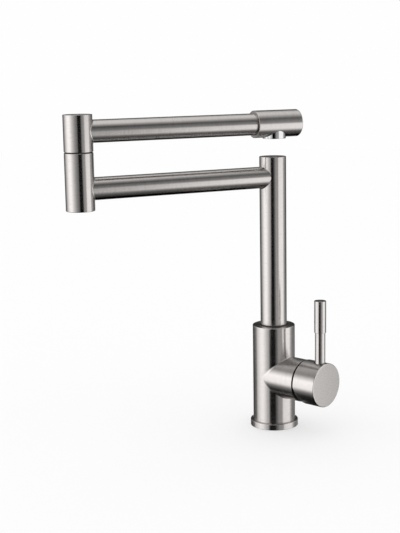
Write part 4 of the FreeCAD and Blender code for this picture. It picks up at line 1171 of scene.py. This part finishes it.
@dataclass
class StandingPart:
    """The part that is fixed to the deck: the deck ring, and the body with its welded side branch.

    Attributes:
        ring_radius: the deck ring's radius.
        ring_height: its height.
        body_radius: the body's radius.
        body_height: height of its top.
        branch_height: height of the branch's axis.
        branch_reach: reach of the branch from the body's axis.
        nut_seat: where the branch's wide bore ends.
        ring_bore: radius of the hole in the ring.
        ring_edges: roundings of the ring's foot, its top and the top of its step.
        gasket: inner radius, outer radius and height of the groove under it.
        seat: radius and height of the step that the body stands in.
        body_wall: the body's wall.
        body_edges: roundings of its top, outside and round the neck.
        roof: thickness of its top.
        neck: radius of the hole in its top.
        branch_radius: the branch's radius.
        branch_edges: roundings of the branch's end, outside and inside.
        opening: where the hole for the cartridge starts and ends, from the body's axis.
        nut_bore: radius of the branch's wide bore.
        cartridge_bore: radius of its narrow bore.
        shy: how far the branch is faced back from the cap.
        weld: radius of the hollow weld between body and branch, above and below.
        side_weld: the same at its sides, where it is ground wide.
        weld_wear_and_highlight: how far the weld is ground bright, as polish and as a painted highlight.
    """

    ring_radius: float
    ring_height: float
    body_radius: float
    body_height: float
    branch_height: float
    branch_reach: float
    nut_seat: float
    ring_bore: float = 18.05
    ring_edges: Triple = (0.15, 0.5, 0.1)
    gasket: Triple = (19.4, 23.0, 1.2)
    seat: Pair = (22.7, 2.4)
    body_wall: float = 2.0
    body_edges: Pair = (0.6, 0.2)
    roof: float = 4.0
    neck: float = 11.6
    branch_radius: float = 22.3
    branch_edges: Pair = (0.25, 0.2)
    opening: Pair = (8.0, 60.0)
    nut_bore: float = 19.05
    cartridge_bore: float = 17.55
    shy: float = 0.8
    weld: float = 0.8
    side_weld: float = 11.0
    weld_wear_and_highlight: float = 0.9

    @classmethod
    def from_frame(cls) -> "StandingPart":
        """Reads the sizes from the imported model.

        Returns:
            The part, not yet built.
        """
        low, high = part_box("faucet_body")
        return cls(ring_radius=radius_of("base_ring"), ring_height=height_of("base_ring")[1],
                   body_radius=-low.x / MM, body_height=high.z / MM,
                   branch_height=joint_place("flow_tilt").z / MM, branch_reach=high.x / MM,
                   nut_seat=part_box("cartridge_nut")[0].x / MM - SLACK)

    def build(self, welds: Growth) -> None:
        """Makes the pieces.

        Args:
            welds: the tree that makes welds.
        """
        upright = Line(Vector(), Z_AXIS, X_AXIS)
        branch = Line(Z_AXIS * self.branch_height, X_AXIS, Z_AXIS)
        inner, outer, groove = self.gasket
        seat, step = self.seat
        foot_edge, top_edge, step_edge = self.ring_edges
        ring = Shape("deck_ring", WIDE_FACETS).turned(upright, [
            *run(1, (self.ring_bore, 0.0), (inner, 0.0), (inner, groove), (outer, groove), (outer, 0.0)),
            *run(0, (self.ring_radius, 0.0, foot_edge), (self.ring_radius, self.ring_height, top_edge)),
            *run(1, (seat, self.ring_height, step_edge), (seat, step), (self.ring_bore, step))], closed=True)
        fitted(ring, (on(STEEL, "upright", upright), BORED_STEEL), "base", "base_ring")
        bore, ceiling = self.body_radius - self.body_wall, self.body_height - self.roof
        top_edge, neck_edge = self.body_edges
        body = Shape("welded_body", WIDE_FACETS).turned(upright, [
            Corner(bore, step, finish=1),
            *run(0, (self.body_radius, step), (self.body_radius, self.body_height, top_edge)),
            *run(1, (self.neck, self.body_height, neck_edge), (self.neck, ceiling), (bore, ceiling))],
            closed=True)
        start, end = self.opening
        hole = Shape("cartridge_hole", SLIM_FACETS).turned(branch, run(
            1, (0.0, start), (self.cartridge_bore, start), (self.cartridge_bore, end), (0.0, end)))
        fitted(body, (on(STEEL, "upright", upright), BORED_STEEL), "base", "faucet_body", holes=[hole])
        arm = Shape("side_branch", WIDE_FACETS)
        reach = self.branch_reach - self.shy
        outer_edge, inner_edge = self.branch_edges
        arm.turned(branch, [
            Corner(self.branch_radius, cope(bore, self.branch_radius, arm.angles)),
            *run(1, (self.branch_radius, reach, outer_edge), (self.nut_bore, reach, inner_edge),
                 (self.nut_bore, self.nut_seat), (self.cartridge_bore, self.nut_seat),
                 (self.cartridge_bore, cope(bore, self.cartridge_bore, arm.angles)))], closed=True)
        # The branch's end face and bores take the near-black seam finish, a painted shade in the gap before the
        # cap
        fitted(arm, (on(STEEL, "branch", branch), SEAM_SHADE_STEEL), "base", "faucet_body")
        bead = welds.grown(
            post_radius=self.body_radius * MM, tube_radius=self.branch_radius * MM,
            weld_radius=self.weld * MM, side_radius=self.side_weld * MM, heading=(0.0, 0.0, 0.0),
            place=(0.0, 0.0, self.branch_height * MM), finish=None)
        # The weld is lightened along its length: ground polish and a painted highlight
        weld = Shape("branch_weld", WIDE_FACETS).joined(bead, self.weld_wear_and_highlight, self.branch_radius * MM)
        fitted(weld, on(STEEL, "branch", branch), "base", "faucet_body")


@dataclass
class Handle:
    """The round handle cap with its lever.

    Attributes:
        axis_height: height of the cap's axis.
        back: where the cap starts, from the riser's axis.
        front: where it ends.
        radius: its radius.
        lever_place: the lever's distance from the riser's axis.
        rod_foot: lowest point of the rod's stud.
        rod_core: highest point of the rod's core.
        step: height at which the sleeve starts.
        top: the sleeve's top.
        grip: the sleeve's radius.
        screw_place: the grub screw's distance from the riser's axis.
        rod: radius of the lever's rod.
        stud: radius and length of the rod's stud.
        core: radius of the rod's core in the sleeve.
        grip_edge: rounding of the sleeve's ends.
        lever_cut: how far above the stud's foot the cut for the lever ends.
        wall: the cap's wall.
        hollow: depth of the hollow behind it.
        cap_edges: roundings of its face, its back and the hollow's rim.
        relief_start: how far below the axis the cut for the tilt starts.
        relief_angle: slope of that cut, in degrees.
        key_bore: radius of the hole under the screw.
        key_reach: how far below the axis that hole ends.
        overrun: how far it is cut past the cap.
    """

    axis_height: float
    back: float
    front: float
    radius: float
    lever_place: float
    rod_foot: float
    rod_core: float
    step: float
    top: float
    grip: float
    screw_place: float
    rod: float = 5.4
    stud: Pair = (3.0, 8.0)
    core: float = 4.0
    grip_edge: float = 0.3
    lever_cut: float = 20.0
    wall: float = 3.0
    hollow: float = 7.5
    cap_edges: Triple = (0.8, 0.25, 0.2)
    relief_start: float = 2.0
    relief_angle: float = 18.9
    key_bore: float = 2.15
    key_reach: float = 4.0
    overrun: float = 2.0

    @classmethod
    def from_frame(cls) -> "Handle":
        """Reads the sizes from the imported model.

        Returns:
            The handle, not yet built.
        """
        names = ("handle_cap", "lever_rod", "lever_grip", "grub_screw")
        cap, rod, grip, screw = (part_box(name) for name in names)
        return cls(axis_height=joint_place("flow_tilt").z / MM, back=cap[0].x / MM, front=cap[1].x / MM,
                   radius=radius_of("handle_cap", 1), lever_place=(grip[0].x + grip[1].x) / 2 / MM,
                   rod_foot=rod[0].z / MM, rod_core=rod[1].z / MM, step=grip[0].z / MM, top=grip[1].z / MM,
                   grip=radius_of("lever_grip"), screw_place=(screw[0].x + screw[1].x) / 2 / MM)

    def back_edge(self, radius: float, angles: np.ndarray) -> np.ndarray:
        """Places on the axis where the cap's back ends at a radius, sloped below so that it can tilt."""
        drop = np.maximum(-radius * np.cos(angles) - self.relief_start, 0.0)
        return self.back + drop * math.tan(math.radians(self.relief_angle))

    def build(self) -> None:
        """Makes the pieces."""
        lying = Line(Z_AXIS * self.axis_height, X_AXIS, Z_AXIS)
        upright = Line(X_AXIS * self.lever_place, Z_AXIS, X_AXIS)
        screw = replace(upright, start=X_AXIS * self.screw_place)
        inner, floor = self.radius - self.wall, self.back + self.hollow
        face_edge, back_edge, rim_edge = self.cap_edges
        cap = Shape("turned_cap", WIDE_FACETS)
        cap.turned(lying, [
            Corner(0.0, self.front, finish=2), Corner(self.radius, self.front, face_edge),
            *run(1, (self.radius, self.back_edge(self.radius, cap.angles), back_edge),
                 (inner, self.back_edge(inner, cap.angles), rim_edge), (inner, floor), (0.0, floor))])
        stud, stud_length = self.stud
        shoulder, end = self.rod_foot + stud_length, self.rod_foot + self.lever_cut
        recess = Shape("lever_recess", SLIM_FACETS).turned(upright, [
            *run(0, (0.0, self.rod_foot), (stud + SLACK, self.rod_foot), (stud + SLACK, shoulder)),
            *run(1, (self.grip, shoulder), (self.grip, end), (0.0, end))])
        below, end = self.axis_height - self.radius - self.overrun, self.axis_height - self.key_reach
        key = Shape("screw_hole", SCREW_FACETS).turned(screw, run(
            1, (0.0, below), (self.key_bore, below), (self.key_bore, end), (0.0, end)))
        # The cap's back rim and hollow take the near-black seam finish, a painted shade in the gap behind it
        fitted(cap, (on(STEEL, "cap", lying), SEAM_SHADE_STEEL, FLAT_STEEL), "handle", "handle_cap",
               holes=[recess, key])
        rod = Shape("lever", SLIM_FACETS).turned(upright, run(
            0, (0.0, self.rod_foot), (stud, self.rod_foot), (stud, shoulder), (self.rod, shoulder),
            (self.rod, self.step), (self.core, self.step), (self.core, self.rod_core), (0.0, self.rod_core)))
        fitted(rod, on(STEEL, "lever", upright), "handle", "lever_rod")
        bore, ceiling = self.core + SLACK, self.rod_core + SLACK
        sleeve = Shape("lever_sleeve", SLIM_FACETS).turned(upright, run(
            0, (0.0, self.top), (self.grip, self.top, self.grip_edge), (self.grip, self.step, self.grip_edge),
            (bore, self.step), (bore, ceiling), (0.0, ceiling)))
        fitted(sleeve, on(STEEL, "lever", upright), "handle", "lever_grip")


class Side(Enum):
    """The spout's two arms, as the CAD nodes and bodies are named."""

    LOWER = "lower"
    UPPER = "upper"


@dataclass(kw_only=True)
class Arm:
    """What the spout's two arms share: a tube that is welded to its posts, and its elbow post.

    Attributes:
        side: which arm it is.
        elbow: the elbow's axis, seen from above.
        post_ends: heights of the elbow post's closed end and its open end.
        post_radius: the post's radius.
        arm_height: height of the arm's axis.
        arm_radius: the arm's radius.
        wall: wall of the tubes.
        lid: thickness of the lids.
        post_edge: rounding of the post's ends.
        weld: radius of the hollow welds.
        weld_wear_and_highlight: how far they are ground bright, as polish and as a painted highlight.
    """

    side: Side
    elbow: Vector
    post_ends: Pair
    post_radius: float
    arm_height: float
    arm_radius: float
    wall: float = 1.5
    lid: float = 3.0
    post_edge: float = 0.6
    weld: float = 1.1
    weld_wear_and_highlight: float = 0.8

    @staticmethod
    def shared_sizes(side: Side) -> dict[str, object]:
        """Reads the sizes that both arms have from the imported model.

        Args:
            side: which arm they belong to.

        Returns:
            Each size by its field's name.
        """
        low, high = height_of(f"{side.value}_arm_tube")
        elbow = joint_place("elbow_swivel") / MM
        return {"side": side, "elbow": Vector((elbow.x, elbow.y, 0.0)), "arm_height": (low + high) / 2,
                "arm_radius": (high - low) / 2, "post_radius": radius_of(f"{side.value}_post_lid")}

    def tube(self, name: str, level: Line, post: float, end: float, far_post: float = 0.0) -> Shape:
        """Turns the arm's tube, coped to the posts that it is welded to.

        Args:
            name: the piece's name.
            level: the arm's axis.
            post: radius of the post that it starts from.
            end: where it ends, or where the far post's axis is.
            far_post: radius of the far post, 0 for a plain end.

        Returns:
            The piece.
        """
        arm = Shape(name, TUBE_FACETS)
        bore, skin = self.arm_radius - self.wall, self.arm_radius
        starts = [cope(post, radius, arm.angles) for radius in (bore, skin)]
        ends = [end - cope(far_post, radius, arm.angles) for radius in (bore, skin)]
        return arm.turned(level, run(
            0, (bore, starts[0]), (skin, starts[1]), (skin, ends[1]), (bore, ends[0])), closed=True)

    def add_weld(self, arm: Shape, welds: Growth, post: float, heading: float, place: Vector) -> None:
        """Adds the hollow weld between the arm and a post to the arm's tube.

        Args:
            arm: the tube.
            welds: the tree that makes welds.
            post: the post's radius.
            heading: direction of the arm as seen from the post, in radians.
            place: where the two axes meet.
        """
        bead = welds.grown(
            post_radius=post * MM, tube_radius=self.arm_radius * MM, weld_radius=self.weld * MM,
            side_radius=self.weld * MM, heading=(0.0, 0.0, heading), place=tuple(place * MM), finish=None)
        # The weld is lightened along its length: ground polish and a painted highlight
        arm.joined(bead, self.weld_wear_and_highlight)

    def build_post(self, elbow: Line) -> None:
        """Makes the elbow post.

        Args:
            elbow: its axis.
        """
        side = self.side.value
        post = lidded(f"{side}_post", elbow, self.post_radius, self.wall, self.lid, self.post_ends,
                      self.post_edge)
        # The post's open end and inner faces take the near-black seam finish, a painted shade in the joint between
        # the posts
        fitted(post, (on(STEEL, "elbow", elbow), SEAM_SHADE_STEEL), f"{side}_arm", f"{side}_elbow_post",
               f"{side}_post_lid")


@dataclass(kw_only=True)
class RiserAndLowerArm(Arm):
    """The riser, the lower arm that is welded to it, and the lower elbow post.

    Attributes:
        riser_ends: heights of the riser's closed top and its foot.
        riser_radius: its radius.
        riser_edge: rounding of its ends.
    """

    riser_ends: Pair
    riser_radius: float
    riser_edge: float = 0.5

    @classmethod
    def from_frame(cls) -> "RiserAndLowerArm":
        """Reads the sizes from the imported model.

        Returns:
            The riser and arm, not yet built.
        """
        return cls(**cls.shared_sizes(Side.LOWER), riser_radius=radius_of("riser_lid"),
                   riser_ends=(height_of("riser_lid")[1], height_of("riser_tube")[0]),
                   post_ends=(height_of("lower_post_lid")[0], height_of("lower_elbow_post")[1]))

    def build(self, welds: Growth) -> None:
        """Makes the pieces.

        Args:
            welds: the tree that makes welds.
        """
        out, reach = self.elbow.normalized(), self.elbow.length
        upright = Line(Vector(), Z_AXIS, out)
        level = Line(Z_AXIS * self.arm_height, out, Z_AXIS)
        riser = lidded("riser", upright, self.riser_radius, self.wall, self.lid, self.riser_ends,
                       self.riser_edge)
        # The riser's foot and inner faces take the near-black seam finish, a painted shade in the joint at the
        # body's top
        fitted(riser, (on(STEEL, "upright", upright), SEAM_SHADE_STEEL), "lower_arm", "riser_tube", "riser_lid")
        arm = self.tube("lower_arm_and_welds", level, self.riser_radius, reach, self.post_radius)
        heading = math.atan2(out.y, out.x)
        self.add_weld(arm, welds, self.riser_radius, heading, level.start)
        self.add_weld(arm, welds, self.post_radius, heading + math.pi, self.elbow + level.start)
        fitted(arm, on(STEEL, "lower_arm", level), "lower_arm", "lower_arm_tube")
        self.build_post(Line(self.elbow, Z_AXIS, out))


@dataclass(kw_only=True)
class UpperArmAndSpout(Arm):
    """The upper elbow post, the upper arm and the spout head with its aerator.

    Attributes:
        outlet: the aerator's axis, seen from above.
        head_radius: the head's radius.
        aerator_ends: lowest point of the aerator and highest point of its shell.
        aerator_radius: its radius.
        core: radius, lowest and highest point of the aerator's core.
        arm_end: where the arm ends in the head, from the elbow's axis.
        head_ends: where the head starts and ends.
        head_edges: roundings of its start and its end.
        waterway: radius of the bore in the head.
        outlet_bore: radius of the bore from there down to the aerator.
        seat: height of the aerator's seat.
        overrun: how far below the arm's axis the cut for the aerator starts.
        lip: width of the rim that the core rests on.
        aerator_edges: roundings of the aerator's foot and of that rim.
        cell: radius of a water cell.
        cell_pitch: distance between two rings of cells.
        weld: radius of the hollow weld.
    """

    outlet: Vector
    head_radius: float
    aerator_ends: Pair
    aerator_radius: float
    core: Triple
    arm_end: float = 199.0
    head_ends: Pair = (189.0, 239.7)
    head_edges: Pair = (0.5, 1.6)
    waterway: float = 9.0
    outlet_bore: float = 8.5
    seat: float = 318.0
    overrun: float = 20.0
    lip: float = 1.25
    aerator_edges: Pair = (0.4, 0.2)
    cell: float = 0.8
    cell_pitch: float = 2.4
    weld: float = 1.5

    @classmethod
    def from_frame(cls) -> "UpperArmAndSpout":
        """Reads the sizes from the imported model.

        Returns:
            The arm and spout, not yet built.
        """
        head, outlet = height_of("spout_head"), mount_place("water_outlet") / MM
        return cls(**cls.shared_sizes(Side.UPPER), outlet=Vector((outlet.x, outlet.y, 0.0)),
                   post_ends=(height_of("upper_post_lid")[1], height_of("upper_elbow_post")[0]),
                   head_radius=(head[1] - head[0]) / 2, aerator_ends=height_of("aerator_housing"),
                   aerator_radius=radius_of("aerator_housing"),
                   core=(radius_of("aerator_core"), *height_of("aerator_core")))

    def build(self, welds: Growth, cells: Growth) -> None:
        """Makes the pieces.

        Args:
            welds: the tree that makes welds.
            cells: the tree that makes the aerator's core.
        """
        out = (self.outlet - self.elbow).normalized()
        spout = Line(self.outlet, Z_AXIS, out)
        level = Line(self.elbow + Z_AXIS * self.arm_height, out, Z_AXIS)
        self.build_post(Line(self.elbow, Z_AXIS, out))
        arm = self.tube("upper_arm_and_weld", level, self.post_radius, self.arm_end)
        self.add_weld(arm, welds, self.post_radius, math.atan2(out.y, out.x), level.start)
        fitted(arm, on(STEEL, "upper_arm", level), "upper_arm", "upper_arm_tube")
        self.build_head(level, spout)
        self.build_aerator(spout, cells)

    def build_head(self, level: Line, spout: Line) -> None:
        """Makes the spout head.

        Args:
            level: its axis.
            spout: the aerator's axis.
        """
        socket = self.arm_radius + SLACK
        water_end = (self.outlet - self.elbow).length + self.waterway
        (start, end), (start_edge, end_edge) = self.head_ends, self.head_edges
        head = Shape("turned_head", WIDE_FACETS).turned(level, run(
            0, (0.0, end), (self.head_radius, end, end_edge), (self.head_radius, start, start_edge),
            (socket, start), (socket, self.arm_end), (self.waterway, self.arm_end),
            (self.waterway, water_end), (0.0, water_end)))
        below, thread = self.arm_height - self.overrun, self.aerator_radius + SLACK
        hole = Shape("aerator_hole", AERATOR_FACETS).turned(spout, run(
            0, (0.0, below), (thread, below), (thread, self.seat), (self.outlet_bore, self.seat),
            (self.outlet_bore, self.arm_height), (0.0, self.arm_height)))
        fitted(head, on(STEEL, "upper_arm", level), "upper_arm", "spout_head", holes=[hole])

    def build_aerator(self, spout: Line, cells: Growth) -> None:
        """Makes the aerator.

        Args:
            spout: its axis.
            cells: the tree that makes its core.
        """
        radius, low, high = self.core
        rim, shell = radius - self.lip, radius + SLACK
        foot, top = self.aerator_ends
        foot_edge, rim_edge = self.aerator_edges
        cup = Shape("aerator_shell", AERATOR_FACETS).turned(spout, run(
            0, (rim, foot, rim_edge), (self.aerator_radius, foot, foot_edge), (self.aerator_radius, top),
            (shell, top), (shell, low), (rim, low, rim_edge)), closed=True)
        fitted(cup, on(CHROME, "aerator", spout), "upper_arm", "aerator_housing")
        plate = cells.grown(
            plate_radius=radius * MM, plate_height=(high - low) * MM, cell_radius=self.cell * MM,
            cell_pitch=self.cell_pitch * MM, place=tuple((self.outlet + Z_AXIS * (low + high) / 2) * MM),
            finish=None)
        core = Shape("water_cell_plate", SLIM_FACETS).joined(plate)
        fitted(core, WHITE_ACETAL, "upper_arm", "aerator_core")


def main() -> None:
    """Builds the light, the camera and the faucet's pieces."""
    logging.basicConfig(level=logging.INFO, format="%(name)s: %(message)s")
    bpy.context.scene.view_settings.view_transform = "Standard"
    studio = Studio()
    studio.camera()
    studio.light()
    studio.floor()
    welds, cells = saddle_tree(), cells_tree()
    StandingPart.from_frame().build(welds)
    Handle.from_frame().build()
    RiserAndLowerArm.from_frame().build(welds)
    UpperArmAndSpout.from_frame().build(welds, cells)
    for finish, nodes in INNER_PIECES:
        dress(nodes.split(), finish)


if __name__ == "__main__":
    main()
